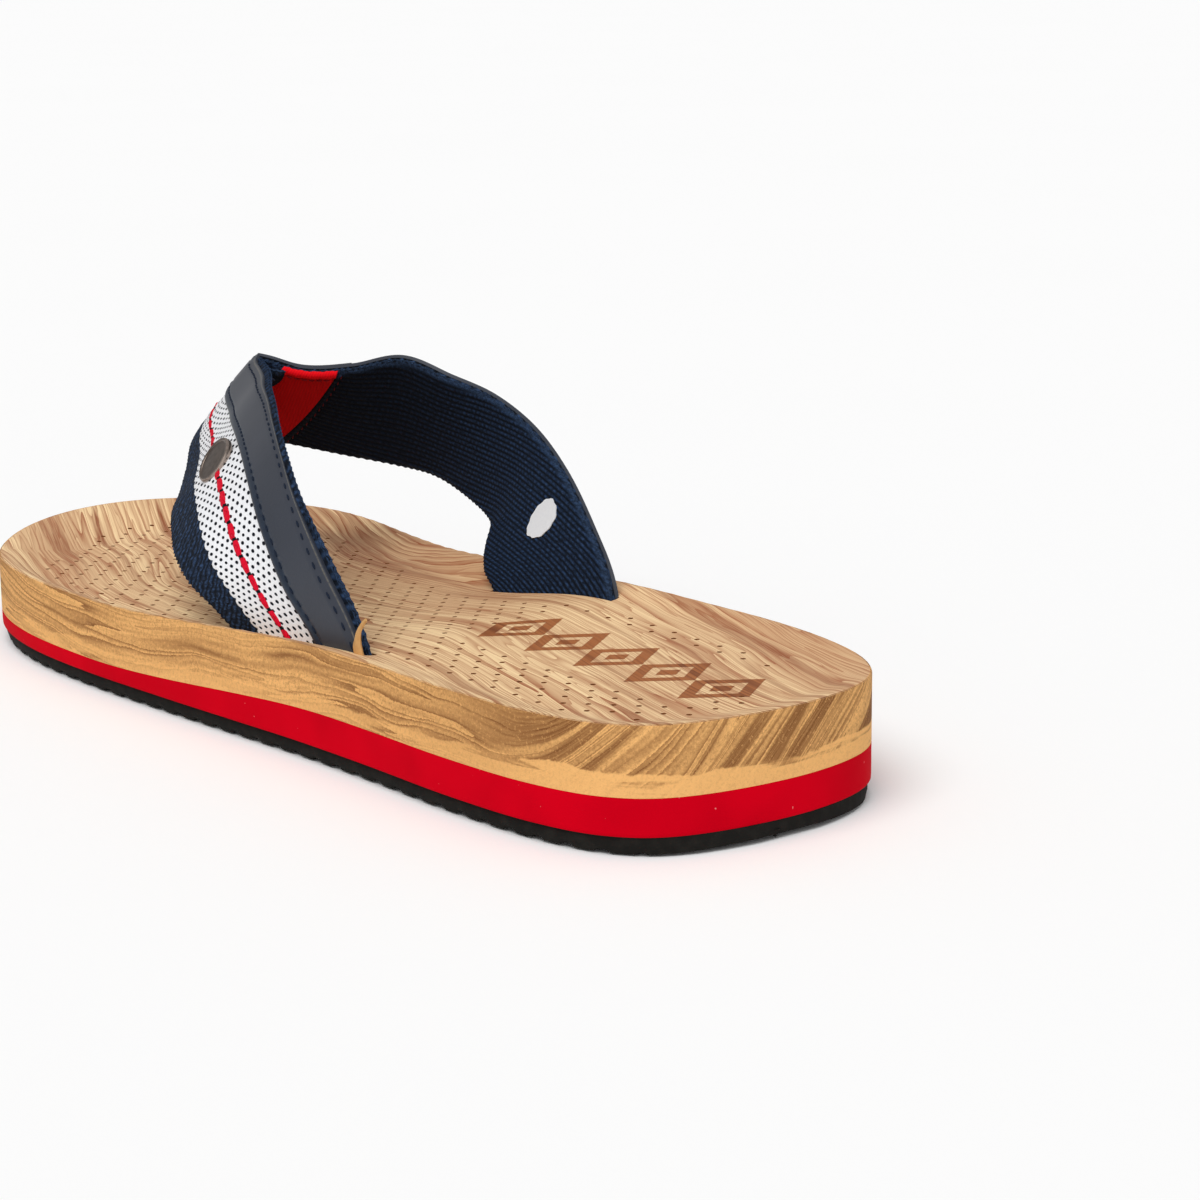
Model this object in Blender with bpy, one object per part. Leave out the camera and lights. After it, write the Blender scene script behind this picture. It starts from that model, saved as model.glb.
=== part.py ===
"""Thong sandal, left foot, at real size (EU 43, 290 mm long).

Frame: +Y to the toe, +X to the medial side (big toe), +Z up, ground at z = 0.
A layered sole (outsole, midsole, footbed) carries a V of webbing with a trim strip, a toe post
of folded tape and one rivet. Sizes below are in millimetres and become metres in the meshes.
"""
import math

import bmesh
import bpy
from mathutils import Vector

MM = 0.001
GAP = 0.3                 # clearance between neighbouring pieces

# Sole
LENGTH = 290.0
OUTSOLE = 3.6             # outsole thickness, crest of the tread to its top
OUTSOLE_INSET = 1.0       # outsole wall stands back from the midsole
OUTSOLE_DRAFT = 0.5       # and leans in further below
MIDSOLE_HEEL = 7.4
MIDSOLE_FRONT = 3.2
WEDGE_FROM, WEDGE_TO = -50.0, 45.0    # stations where the wedge of the midsole ends
FOOTBED_WALL = 14.5       # footbed thickness at its rim
FOOTBED_TOE = 12.4        # the same at the toe
TOE_SPRING = 2.5
SPRING_FROM = 85.0
ARCH_LIFT = 2.6           # medial rim stands higher over the arch
ARCH_AT, ARCH_REACH = -15.0, 85.0
HOLLOW = 2.2              # and the footbed beside it, in front of the strap, is deeper
HOLLOW_AT, HOLLOW_REACH = -5.0, 45.0
DISH_HEEL, DISH_FRONT = 1.4, 3.2      # depth of the footbed below its rim
DISH_REACH, TOE_SCOOP_REACH = 9.0, 27.0
LUG_PITCH = 7.4
LUG_CREST = 0.5           # share of the pitch that touches the ground
LUG_DEPTH = 0.6
TREAD_MARGIN = 8.0        # plain rubber at toe and heel
END_ROWS = 8
END_LIFT = 0.8

# Upper
WEBBING = 2.4             # webbing and lining together
TRIM = 1.0
TRIM_FROM, TRIM_TO = 0.03, 0.355      # across the strap, 0 at the rear edge, 1 at the front
TRIM_END = 0.885                      # along each leg, just clear of the footbed
TAPE = 1.0
TAPE_REAR, TAPE_FRONT = 0.16, 0.11    # how far the tape runs along each leg from the mitre
POST_X, POST_Y = 18.5, 102.5
POST_WIDE, POST_THICK = 9.0, 5.0
POST_HOLE_Z = 10.0

# Rivet
RIVET_LEG_T, RIVET_ACROSS = 0.43, 0.54
RIVET_RADIUS = 5.8
RIVET_DOME = 1.6
RIVET_RIM = 0.8
SHANK_RADIUS = 1.6
BACK_RADIUS = 4.5
BACK_THICK = 0.8

# Half outline at each station: y, lateral x, medial x
OUTLINE = [
    (145, 11, 11), (139, -12, 33), (125, -29, 46), (105, -42, 53.5), (80, -48, 54), (50, -49, 49),
    (15, -47, 42), (-10, -45, 39), (-35, -43, 39.5), (-60, -42, 43.5), (-90, -41.5, 46.5),
    (-115, -39, 43), (-132, -33, 35.5), (-141, -22, 24.5), (-145, 3, 3),
]

# Sections of the webbing from the mitre over the toes down to the slots:
# rear edge x, y, z and front edge x, y, z
MITRE = (21, 79, 68.5, 18, 105.5, 47)
LATERAL_LEG = [
    MITRE, (15, 66, 68.5, 6.5, 91, 44.5), (8, 53, 68.5, -3.5, 75, 42), (0, 40, 68, -14, 59.5, 40.5),
    (-7.5, 26, 66.5, -24, 45.5, 39.5), (-15.5, 11.5, 64, -32, 31.5, 37.5),
    (-23.5, -4.5, 60, -37.8, 20.2, 34.5), (-30, -20.5, 53, -40.3, 11, 30),
    (-33.5, -37, 42.5, -39.2, 1.8, 25), (-34.5, -50, 30, -37.7, -6, 19.5),
    (-34, -57, 13, -37, -12, 13),
]
MEDIAL_LEG = [
    MITRE, (26, 65.5, 66.5, 31, 91, 44.5), (32, 53, 67.8, 42.5, 76, 41.5),
    (38.5, 41, 70.6, 50.5, 61, 39.5), (43.5, 28, 66.9, 52, 46, 38.5), (46.5, 14, 63.5, 49.5, 28, 35.5),
    (46, -2.5, 58, 45, 13, 32.5), (42.5, -19.5, 50.5, 37.5, 4, 29.5), (38, -35, 41, 32.5, -3, 26),
    (34, -48, 30, 29.5, -9, 21.5), (32, -54, 13, 28, -14, 13),
]


def smooth(value):
    """Smooth step from 0 to 1."""
    value = min(1.0, max(0.0, value))
    return value * value * (3.0 - 2.0 * value)


def spline(knots, rows, at):
    """Cubic through rows of values at rising knots, with slopes from the neighbouring rows."""
    last = len(knots) - 1
    seg = max(0, min(last - 1, sum(1 for knot in knots[1:-1] if knot <= at)))
    span = knots[seg + 1] - knots[seg]
    share = (at - knots[seg]) / span

    def slope(index, column):
        low, high = max(0, index - 1), min(last, index + 1)
        return (rows[high][column] - rows[low][column]) / (knots[high] - knots[low])

    result = []
    for column in range(len(rows[0])):
        start, end = rows[seg][column], rows[seg + 1][column]
        go, come = slope(seg, column) * span, slope(seg + 1, column) * span
        result.append(start + share * (go + share * ((3 * (end - start) - 2 * go - come)
                      + share * (2 * (start - end) + go + come))))
    return result


# ---- sole surfaces -------------------------------------------------------------------------

HALF = LENGTH / 2
OUTLINE_TURNS = [math.acos(max(-1.0, min(1.0, row[0] / HALF))) for row in OUTLINE]
OUTLINE_SIDES = [row[1:] for row in OUTLINE]


def sides(y):
    """Lateral and medial x of the sole's outline at station y."""
    turn = math.acos(max(-1.0, min(1.0, y / HALF)))
    return spline(OUTLINE_TURNS, OUTLINE_SIDES, turn)


def ground(y):
    """Height of the sole's underside over the floor: the toe spring."""
    return TOE_SPRING * max(0.0, (y - SPRING_FROM) / (HALF - SPRING_FROM)) ** 2


def midsole_bottom(y):
    return ground(y) + OUTSOLE + GAP


def midsole_top(y):
    wedge = smooth((WEDGE_TO - y) / (WEDGE_TO - WEDGE_FROM))
    return midsole_bottom(y) + MIDSOLE_FRONT + (MIDSOLE_HEEL - MIDSOLE_FRONT) * wedge


def medial_swell(x, y, middle, reach):
    """1 on the medial side at one station, falling to 0 at a reach from it and at the middle line."""
    left, right = sides(y)
    medial = smooth((x - left) / (right - left) * 2 - 1)
    return medial * (0.5 + 0.5 * math.cos(math.pi * min(1.0, abs(y - middle) / reach)))


def rim(x, y):
    """Height of the footbed's rim, higher on the medial side over the arch."""
    wall = FOOTBED_WALL + (FOOTBED_TOE - FOOTBED_WALL) * smooth((y - SPRING_FROM) / (HALF - SPRING_FROM))
    return midsole_top(y) + GAP + wall + ARCH_LIFT * medial_swell(x, y, ARCH_AT, ARCH_REACH)


EDGE_POINTS = [
    (side, HALF * math.cos(math.pi * k / 72))
    for k in range(73) for side in sides(HALF * math.cos(math.pi * k / 72))
]


def inset(x, y):
    """Distance of a point from the sole's outline."""
    return min(math.hypot(x - edge_x, y - edge_y) for edge_x, edge_y in EDGE_POINTS)


def footbed_top(x, y):
    """The dished footbed: rim at the edge, lower inside, with a longer scoop at the toe."""
    front = smooth((y + 60) / 50)
    depth = DISH_HEEL + (DISH_FRONT - DISH_HEEL) * front + HOLLOW * medial_swell(x, y, HOLLOW_AT, HOLLOW_REACH)
    toe = smooth((y - 90) / 40)
    reach = DISH_REACH + (TOE_SCOOP_REACH - DISH_REACH) * toe
    return rim(x, y) - depth * smooth(inset(x, y) / reach)


# ---- upper surfaces ------------------------------------------------------------------------

def leg_point(leg, along, across):
    """Point on the webbing's middle surface: along 0 at the mitre, 1 in the slot."""
    knots = [index / (len(leg) - 1) for index in range(len(leg))]
    row = spline(knots, leg, along)
    rear, front = Vector(row[:3]), Vector(row[3:])
    return rear.lerp(front, across)


def leg_normal(leg, along, across, outward):
    step = 0.01
    low, high = max(0.0, along - step), min(1.0, along + step)
    run = leg_point(leg, high, across) - leg_point(leg, low, across)
    width = leg_point(leg, along, 1.0) - leg_point(leg, along, 0.0)
    return (run.cross(width) * outward).normalized()


def upper_frame(along, across):
    """Point and outward normal of the V: along -1 lateral slot, 0 mitre, 1 medial slot."""
    lateral, medial = (LATERAL_LEG, -1), (MEDIAL_LEG, 1)
    leg, outward = lateral if along < 0 else medial
    point = leg_point(leg, abs(along), across)
    normal = leg_normal(leg, abs(along), across, outward)
    blend = smooth(1 - abs(along) / 0.08) / 2
    if blend:
        other, other_outward = medial if along < 0 else lateral
        across_mitre = leg_normal(other, 0.0, across, other_outward)
        normal = normal.lerp(across_mitre, blend).normalized()
    return point, normal


def band(stations, low, high, inner, outer, columns):
    """Sections of a strip on the upper: across from low to high, between two offsets."""
    sections = []
    for along in stations:
        loop = []
        for k in range(columns + 1):
            point, normal = upper_frame(along, low(along) + (high(along) - low(along)) * k / columns)
            loop.append(point + normal * outer)
        for k in range(columns, -1, -1):
            point, normal = upper_frame(along, low(along) + (high(along) - low(along)) * k / columns)
            loop.append(point + normal * inner)
        sections.append(loop)
    return sections


# ---- building ------------------------------------------------------------------------------

def clear_scene():
    for old in list(bpy.data.objects):
        bpy.data.objects.remove(old, do_unlink=True)


def new_collection(name):
    collection = bpy.data.collections.new(name)
    bpy.context.scene.collection.children.link(collection)
    return collection


def material(name, color, roughness, metallic=0.0):
    made = bpy.data.materials.new(name)
    made.use_nodes = True
    shader = made.node_tree.nodes["Principled BSDF"]
    shader.inputs["Base Color"].default_value = (*color, 1.0)
    shader.inputs["Roughness"].default_value = roughness
    shader.inputs["Metallic"].default_value = metallic
    made.diffuse_color = (*color, 1.0)
    return made


def loft(name, sections, collection, finish=None):
    """Closed solid through equal loops, capped at both ends."""
    mesh = bpy.data.meshes.new(name)
    work = bmesh.new()
    rings = [[work.verts.new(Vector(point) * MM) for point in loop] for loop in sections]
    count = len(rings[0])
    for ring, following in zip(rings, rings[1:]):
        for k in range(count):
            after = (k + 1) % count
            work.faces.new((ring[k], ring[after], following[after], following[k]))
    work.faces.new(rings[0][::-1])
    work.faces.new(rings[-1])
    bmesh.ops.triangulate(work, faces=work.faces[:])
    bmesh.ops.recalc_face_normals(work, faces=work.faces[:])
    work.to_mesh(mesh)
    work.free()
    made = bpy.data.objects.new(name, mesh)
    collection.objects.link(made)
    if finish:
        mesh.materials.append(finish)
        mesh.shade_smooth()
        mesh.set_sharp_from_angle(angle=math.radians(35))
    return made


def combine(target, tool, operation="DIFFERENCE"):
    """Cut a tool's shape out of a piece, or join it on."""
    tool.hide_render = True
    tool.display_type = "WIRE"
    boolean = target.modifiers.new(tool.name, "BOOLEAN")
    boolean.operation = operation
    boolean.object = tool


def round_stations(count):
    """Stations closer together at toe and heel, so that the round ends stay round."""
    margin = 0.05
    return [HALF * math.cos(margin + (math.pi - 2 * margin) * k / count) for k in range(count + 1)]


def tread_rows():
    """Station and depth of the tread: crest and groove of each lug, then the round plain ends."""
    lugs = int((LENGTH - 2 * TREAD_MARGIN) / LUG_PITCH)
    crest, slope = LUG_PITCH * LUG_CREST / 2, LUG_PITCH * (1 - LUG_CREST) / 4
    rows = []
    for lug in range(lugs):
        middle = (lug - (lugs - 1) / 2) * LUG_PITCH
        rows += [(middle - crest - slope, LUG_DEPTH), (middle - crest, 0.0), (middle + crest, 0.0),
                 (middle + crest + slope, LUG_DEPTH)]
    ends = []
    first = math.acos((rows[-1][0] + 1.0) / HALF)
    for k in range(END_ROWS):
        y = HALF * math.cos(first + (0.09 - first) * k / (END_ROWS - 1))
        ends.append((y, END_LIFT * k / END_ROWS))
    return [(-y, lift) for y, lift in ends[::-1]] + rows + ends


def build_outsole(collection):
    sections = []
    for y, depth in tread_rows():
        left, right = sides(y)
        share = max(0.05, 1 - 2 * OUTSOLE_INSET / (right - left))
        middle, half = (left + right) / 2, (right - left) / 2 * share
        foot = max(0.3, half - OUTSOLE_DRAFT)
        low, top = ground(y) + depth, ground(y) + OUTSOLE
        waist = ground(y) + 0.45 * OUTSOLE
        sections.append([
            (middle - foot, y, low), (middle + foot, y, low), (middle + half, y, waist),
            (middle + half, y, top), (middle - half, y, top), (middle - half, y, waist),
        ])
    return loft("outsole", sections, collection, material("black_rubber", (0.02, 0.02, 0.022), 0.7))


def build_midsole(collection):
    sections = []
    for y in round_stations(64):
        left, right = sides(y)
        low, top = midsole_bottom(y), midsole_top(y)
        sections.append([(left, y, low), (right, y, low), (right, y, top), (left, y, top)])
    return loft("midsole", sections, collection, material("red_foam", (0.75, 0.01, 0.03), 0.55))


def build_footbed(collection, helpers):
    columns = 14
    across = [math.sin(math.pi / 2 * (2 * k / columns - 1)) for k in range(columns + 1)]
    sections = []
    for y in round_stations(60):
        left, right = sides(y)
        low = midsole_top(y) + GAP
        top = []
        for share in across:
            x = (left + right) / 2 + (right - left) / 2 * share
            top.append((x, y, footbed_top(x, y)))
        sections.append([(right, y, low), (left, y, low)] + top)
    made = loft("footbed", sections, collection, material("wood_look_foam", (0.62, 0.40, 0.23), 0.6))
    slot_from, slot_to, reach = 0.72, 1.0, GAP + WEBBING / 2
    for name, sign in (("slot_lateral", -1), ("slot_medial", 1)):
        stations = [sign * (slot_from + (slot_to - slot_from) * k / 12) for k in range(13)]
        slot = band(stations, lambda a: -0.009, lambda a: 1.009, -reach, reach, 6)
        slot[-1] = [point - Vector((0, 0, GAP)) for point in slot[-1]]
        combine(made, loft(name, slot, helpers))
    hole = post_sections(GAP, POST_HOLE_Z - GAP)[-3:]
    combine(made, loft("toe_hole", hole, helpers))
    return made


# ---- toe post ------------------------------------------------------------------------------

POST_SIDES = 16
POST_ROOT = 0.885         # where the post leaves the tape, across the mitre
POST_ROOT_LONG, POST_ROOT_WIDE = 0.08, 0.025
TAPE_OFFSET = -(WEBBING / 2 + GAP + TAPE / 2)


def post_ring(share):
    """Ring inside the tape under the mitre, as wide as the given share of the post."""
    ring = []
    for k in range(POST_SIDES):
        turn = 2 * math.pi * k / POST_SIDES
        along = share * POST_ROOT_WIDE * math.cos(turn)
        point, normal = upper_frame(along, POST_ROOT + POST_ROOT_LONG * math.sin(turn))
        ring.append(point + normal * (TAPE_OFFSET + 0.2 * TAPE))
    return ring


def post_sections(grow, foot_z):
    """Toe post: from a ring in the tape down through ellipses into the footbed."""
    ring = post_ring(1.0)
    root = sum(ring, Vector()) / POST_SIDES
    half_x, half_y = POST_THICK / 2 + grow, POST_WIDE / 2 + grow
    sections = [post_ring(0.15), ring]
    for share in (0.12, 0.28, 0.45, 0.65, 1.0):
        turned = smooth(share / 0.45)
        centre = Vector((POST_X, POST_Y, root.z + (foot_z - root.z) * share))
        centre.x += (root.x - POST_X) * (1 - turned)
        centre.y += (root.y - POST_Y) * (1 - turned)
        loop = []
        for k, start in enumerate(ring):
            turn = 2 * math.pi * k / POST_SIDES
            target = centre + Vector((half_x * math.cos(turn), half_y * math.sin(turn), 0))
            loop.append((start + centre - root).lerp(target, turned))
        sections.append(loop)
    return sections


def build_toe_post(collection, helpers):
    """Folded tape that lines the mitre, joined to the post that it becomes."""
    stations = [TAPE_REAR * k / 10 for k in range(-10, 11)]
    ratio = TAPE_FRONT / TAPE_REAR
    half_tape = TAPE / 2
    sections = []
    for row in range(9):
        across = 0.02 + 0.96 * row / 8
        narrow = 1 + (ratio - 1) * across
        outer, inner = [], []
        for station in stations:
            point, normal = upper_frame(station * narrow, across)
            outer.append(point + normal * (TAPE_OFFSET + half_tape))
            inner.append(point + normal * (TAPE_OFFSET - half_tape))
        sections.append(outer + inner[::-1])
    made = loft("toe_post", sections, collection, material("red_tape", (0.65, 0.01, 0.02), 0.8))
    post = loft("post", post_sections(0.0, POST_HOLE_Z), helpers)
    combine(made, post, "UNION")
    return made


# ---- straps --------------------------------------------------------------------------------

def strap_stations():
    """Closer together at the mitre, where the two legs meet."""
    shares = [0.0, 0.02, 0.05, 0.09, 0.14, 0.2] + [0.2 + 0.8 * k / 16 for k in range(1, 17)]
    return [-share for share in shares[:0:-1]] + shares


def build_strap(collection, helpers):
    half = WEBBING / 2
    sections = band(strap_stations(), lambda a: 0.0, lambda a: 1.0, -half, half, 6)
    made = loft("strap", sections, collection, material("navy_webbing", (0.02, 0.035, 0.075), 0.85))
    hole = [(SHANK_RADIUS + GAP, -2 * WEBBING), (SHANK_RADIUS + GAP, 2 * WEBBING)]
    combine(made, place_turned("rivet_hole", hole, helpers))
    return made


def build_trim(collection):
    stations = [along for along in strap_stations() if abs(along) < TRIM_END - 0.01]
    stations = [-TRIM_END] + stations + [TRIM_END]
    low = WEBBING / 2 + GAP
    sections = band(stations, lambda a: TRIM_FROM, lambda a: TRIM_TO, low, low + TRIM, 3)
    return loft("leather_trim", sections, collection, material("navy_leather", (0.035, 0.04, 0.055), 0.5))


# ---- rivet ---------------------------------------------------------------------------------

RIVET_SIDES = 20


def place_turned(name, profile, collection, finish=None):
    """Turned solid on the rivet's axis: rows of radius and height over the webbing's middle."""
    centre, normal = upper_frame(-RIVET_LEG_T, RIVET_ACROSS)
    side = normal.orthogonal().normalized()
    other = normal.cross(side)
    sections = []
    for radius, height in profile:
        loop = []
        for k in range(RIVET_SIDES):
            turn = 2 * math.pi * k / RIVET_SIDES
            loop.append(centre + normal * height + (side * math.cos(turn) + other * math.sin(turn)) * radius)
        sections.append(loop)
    return loft(name, sections, collection, finish)


def build_rivet(collection):
    metal = material("gunmetal", (0.25, 0.24, 0.24), 0.3, 1.0)
    face = WEBBING / 2 + GAP
    back_face = -(WEBBING / 2 + GAP)
    cap = [(SHANK_RADIUS, back_face), (SHANK_RADIUS, face), (RIVET_RADIUS - 0.5, face),
           (RIVET_RADIUS, face + 0.4), (RIVET_RADIUS, face + RIVET_RIM)]
    for k in range(1, 5):
        turn = math.pi / 2 * k / 5
        cap.append((RIVET_RADIUS * math.cos(turn), face + RIVET_RIM + RIVET_DOME * math.sin(turn)))
    place_turned("rivet_cap", cap, collection, metal)
    low = back_face - GAP
    back = [(BACK_RADIUS, low), (BACK_RADIUS, low - BACK_THICK * 0.6), (BACK_RADIUS * 0.8, low - BACK_THICK)]
    place_turned("rivet_back", back, collection, material("rivet_brass", (0.6, 0.45, 0.38), 0.35, 1.0))


def main():
    clear_scene()
    sandal = new_collection("thong_sandal")
    helpers = new_collection("cutters_and_joins")
    build_outsole(sandal)
    build_midsole(sandal)
    build_footbed(sandal, helpers)
    build_strap(sandal, helpers)
    build_trim(sandal)
    build_toe_post(sandal, helpers)
    build_rivet(sandal)


main()
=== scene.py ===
"""Left thong sandal: wood-look footbed, foam wedge, ribbed outsole and a woven V of webbing.

Each operator makes one piece, or one group of like pieces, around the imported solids. Sizes are in
millimetres where they are worked out and in metres on the finished meshes. +Y is the toe, +X the
medial side and +Z up.
"""

import math
from contextlib import contextmanager

import bpy
import numpy as np
from bpy.props import FloatProperty, FloatVectorProperty, PointerProperty
from bpy.types import Operator, Panel, PropertyGroup
from mathutils import Matrix, Vector


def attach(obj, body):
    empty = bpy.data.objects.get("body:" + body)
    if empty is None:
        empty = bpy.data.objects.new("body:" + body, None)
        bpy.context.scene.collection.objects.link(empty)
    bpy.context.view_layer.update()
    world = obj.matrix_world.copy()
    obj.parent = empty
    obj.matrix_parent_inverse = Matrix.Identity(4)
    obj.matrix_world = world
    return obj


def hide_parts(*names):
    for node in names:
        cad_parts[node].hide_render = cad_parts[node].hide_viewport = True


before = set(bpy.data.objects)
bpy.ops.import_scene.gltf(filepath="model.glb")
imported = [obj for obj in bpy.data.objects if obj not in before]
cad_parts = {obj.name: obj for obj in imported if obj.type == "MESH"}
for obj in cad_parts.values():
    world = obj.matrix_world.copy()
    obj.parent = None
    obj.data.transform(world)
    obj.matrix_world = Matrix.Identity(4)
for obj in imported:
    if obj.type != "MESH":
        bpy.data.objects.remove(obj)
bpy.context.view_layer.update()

bl_info = {
    "name": "Thong sandal",
    "version": (1, 0, 0),
    "blender": (4, 5, 0),
    "location": "3D View > Sidebar > Sandal",
    "description": "Builds a left thong sandal piece by piece around its solid frame",
    "category": "Add Mesh",
}

MM = 0.001
SEAM = 0.002                       # points nearer than this are one

# ---- sizes of the sole ---------------------------------------------------------------------

HALF = 145.0
GAP = 0.3
OUTSOLE, OUTSOLE_INSET, OUTSOLE_DRAFT = 3.6, 1.0, 0.5
MIDSOLE_HEEL, MIDSOLE_FRONT = 7.4, 3.2
WEDGE_FROM, WEDGE_TO = -50.0, 45.0
FOOTBED_WALL, FOOTBED_TOE = 14.5, 12.4
TOE_SPRING, SPRING_FROM = 2.5, 85.0
ARCH_LIFT, ARCH_AT, ARCH_REACH = 2.6, -15.0, 85.0
HOLLOW, HOLLOW_AT, HOLLOW_REACH = 2.2, -5.0, 45.0
DISH_HEEL, DISH_FRONT = 1.4, 3.2
DISH_REACH, DISH_FROM, DISH_EASE = 9.0, -60.0, 50.0
SCOOP_REACH, SCOOP_FROM, SCOOP_EASE = 27.0, 90.0, 40.0     # the dish is wider at the toe
LUG_PITCH, LUG_CREST, LUG_DEPTH = 7.4, 0.5, 0.6
LUG_ROWS = 37

# y, lateral x, medial x
OUTLINE = [
    (145, 11, 11), (139, -12, 33), (125, -29, 46), (105, -42, 53.5), (80, -48, 54), (50, -49, 49),
    (15, -47, 42), (-10, -45, 39), (-35, -43, 39.5), (-60, -42, 43.5), (-90, -41.5, 46.5),
    (-115, -39, 43), (-132, -33, 35.5), (-141, -22, 24.5), (-145, 3, 3),
]

# ---- sizes of the upper --------------------------------------------------------------------

WEBBING = 2.4
STRAP_WIDE = 38.0
TRIM = 1.0
TRIM_FROM, TRIM_TO = 0.45, 11.5          # across the webbing, in millimetres from its rear edge
REAR_STITCHES, FRONT_STITCHES = 1.35, 9.6
TAPE_OFFSET = WEBBING / 2 + GAP + 0.5
POST_X, POST_Y, POST_WIDE, POST_THICK = 18.5, 102.5, 9.0, 5.0
RIVET_ALONG, RIVET_ACROSS, RIVET_RADIUS = -0.43, 0.52, 5.8
SLOT_BEND, SLOT_BEND_AT, SLOT_BEND_REACH = 3.2, -133.0, 15.5   # at the lateral slot
MITRE_PULL, MITRE_PULL_REACH = 6.4, 95.0
MITRE_BLEND = 0.08                                             # share of a leg whose normals turn
BULGE, BULGE_FROM, BULGE_TO = 1.8, 104.0, 139.0                # of the medial leg's front edge
WIDER, WIDER_FROM, WIDER_TO = 1.8, -125.0, -18.0               # and of the lateral leg's

# rear edge x, y, z and front edge x, y, z of the webbing, from the mitre down to the slot
MITRE = (21, 79, 68.5, 18, 105.5, 47)
LATERAL_LEG = [
    MITRE, (15, 66, 68.5, 6.5, 91, 44.5), (8, 53, 68.5, -3.5, 75, 42), (0, 40, 68, -14, 59.5, 40.5),
    (-7.5, 26, 66.5, -24, 45.5, 39.5), (-15.5, 11.5, 64, -32, 31.5, 37.5),
    (-23.5, -4.5, 60, -37.8, 20.2, 34.5), (-30, -20.5, 53, -40.3, 11, 30),
    (-33.5, -37, 42.5, -39.2, 1.8, 25), (-34.5, -50, 30, -37.7, -6, 19.5),
    (-34, -57, 13, -37, -12, 13),
]
MEDIAL_LEG = [
    MITRE, (26, 65.5, 66.5, 31, 91, 44.5), (32, 53, 67.8, 42.5, 76, 41.5),
    (38.5, 41, 70.6, 50.5, 61, 39.5), (43.5, 28, 66.9, 52, 46, 38.5), (46.5, 14, 63.5, 49.5, 28, 35.5),
    (46, -2.5, 58, 45, 13, 32.5), (42.5, -19.5, 50.5, 37.5, 4, 29.5), (38, -35, 41, 32.5, -3, 26),
    (34, -48, 30, 29.5, -9, 21.5), (32, -54, 13, 28, -14, 13),
]


# ---- curves and surfaces, on arrays --------------------------------------------------------

def smooth(value):
    value = np.clip(value, 0.0, 1.0)
    return value * value * (3.0 - 2.0 * value)


def curve(knots, rows, at):
    """Cubic through rows of values at rising knots, read at an array of places."""
    knots, rows = np.asarray(knots, float), np.asarray(rows, float)
    at = np.asarray(at, float)
    last = len(knots) - 1
    index = np.arange(last + 1)
    low, high = np.maximum(index - 1, 0), np.minimum(index + 1, last)
    slopes = (rows[high] - rows[low]) / (knots[high] - knots[low])[:, None]
    seg = np.clip(np.searchsorted(knots, at, side="right") - 1, 0, last - 1)
    span = knots[seg + 1] - knots[seg]
    share = ((at - knots[seg]) / span)[:, None]
    start, end = rows[seg], rows[seg + 1]
    go, come = slopes[seg] * span[:, None], slopes[seg + 1] * span[:, None]
    return start + share * (go + share * ((3 * (end - start) - 2 * go - come)
                            + share * (2 * (start - end) + go + come)))


def arc_lengths(points):
    """Millimetres along a run of points, up to each of them."""
    return np.concatenate([[0], np.cumsum(np.linalg.norm(np.diff(points, axis=0), axis=1))])


OUTLINE_TURNS = [math.acos(max(-1.0, min(1.0, row[0] / HALF))) for row in OUTLINE]
OUTLINE_SIDES = [row[1:] for row in OUTLINE]


def sides(y):
    """Lateral and medial x of the outline at each y."""
    both = curve(OUTLINE_TURNS, OUTLINE_SIDES, np.arccos(np.clip(np.asarray(y) / HALF, -1, 1)))
    return both[:, 0], both[:, 1]


def ground(y):
    """Height of the ground under the toe spring, where the sole lifts off it."""
    return TOE_SPRING * np.maximum(0.0, (y - SPRING_FROM) / (HALF - SPRING_FROM)) ** 2


def midsole_bottom(y):
    return ground(y) + OUTSOLE + GAP


def midsole_top(y):
    wedge = smooth((WEDGE_TO - y) / (WEDGE_TO - WEDGE_FROM))
    return midsole_bottom(y) + MIDSOLE_FRONT + (MIDSOLE_HEEL - MIDSOLE_FRONT) * wedge


def medial_swell(x, y, middle, reach):
    """1 on the medial side at one station, falling to 0 at a reach from it and at the middle line."""
    left, right = sides(y)
    medial = smooth((x - left) / np.maximum(right - left, 0.01) * 2 - 1)
    return medial * (0.5 + 0.5 * np.cos(math.pi * np.minimum(1.0, np.abs(y - middle) / reach)))


def rim(x, y):
    """Height of the footbed's edge."""
    wall = FOOTBED_WALL + (FOOTBED_TOE - FOOTBED_WALL) * smooth((y - SPRING_FROM) / (HALF - SPRING_FROM))
    return midsole_top(y) + GAP + wall + ARCH_LIFT * medial_swell(x, y, ARCH_AT, ARCH_REACH)


def outline(turns, inset=0.0):
    """Points of the outline at turns from the toe over the medial side, heel and lateral side."""
    def loop(at):
        folded = np.where(at <= math.pi, at, 2 * math.pi - at)
        y = HALF * np.cos(folded)
        both = curve(OUTLINE_TURNS, OUTLINE_SIDES, folded)
        return np.stack([np.where(at <= math.pi, both[:, 1], both[:, 0]), y], axis=1)
    turns = np.mod(turns, 2 * math.pi)
    step = 0.01
    points = loop(turns)
    run = loop(np.mod(turns + step, 2 * math.pi)) - loop(np.mod(turns - step, 2 * math.pi))
    out = np.stack([-run[:, 1], run[:, 0]], axis=1)
    out /= np.linalg.norm(out, axis=1)[:, None]
    return points - out * np.asarray(inset).reshape(-1, 1)


def gaps(x, y, points):
    """Squared distance from each place to each of some points."""
    return (x[:, None] - points[None, :, 0]) ** 2 + (y[:, None] - points[None, :, 1]) ** 2


EDGE = outline(np.arange(360) * 2 * math.pi / 360)


def inset_of(x, y):
    """Distance of each place from the outline."""
    return np.sqrt(gaps(x, y, EDGE).min(axis=1))


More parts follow.
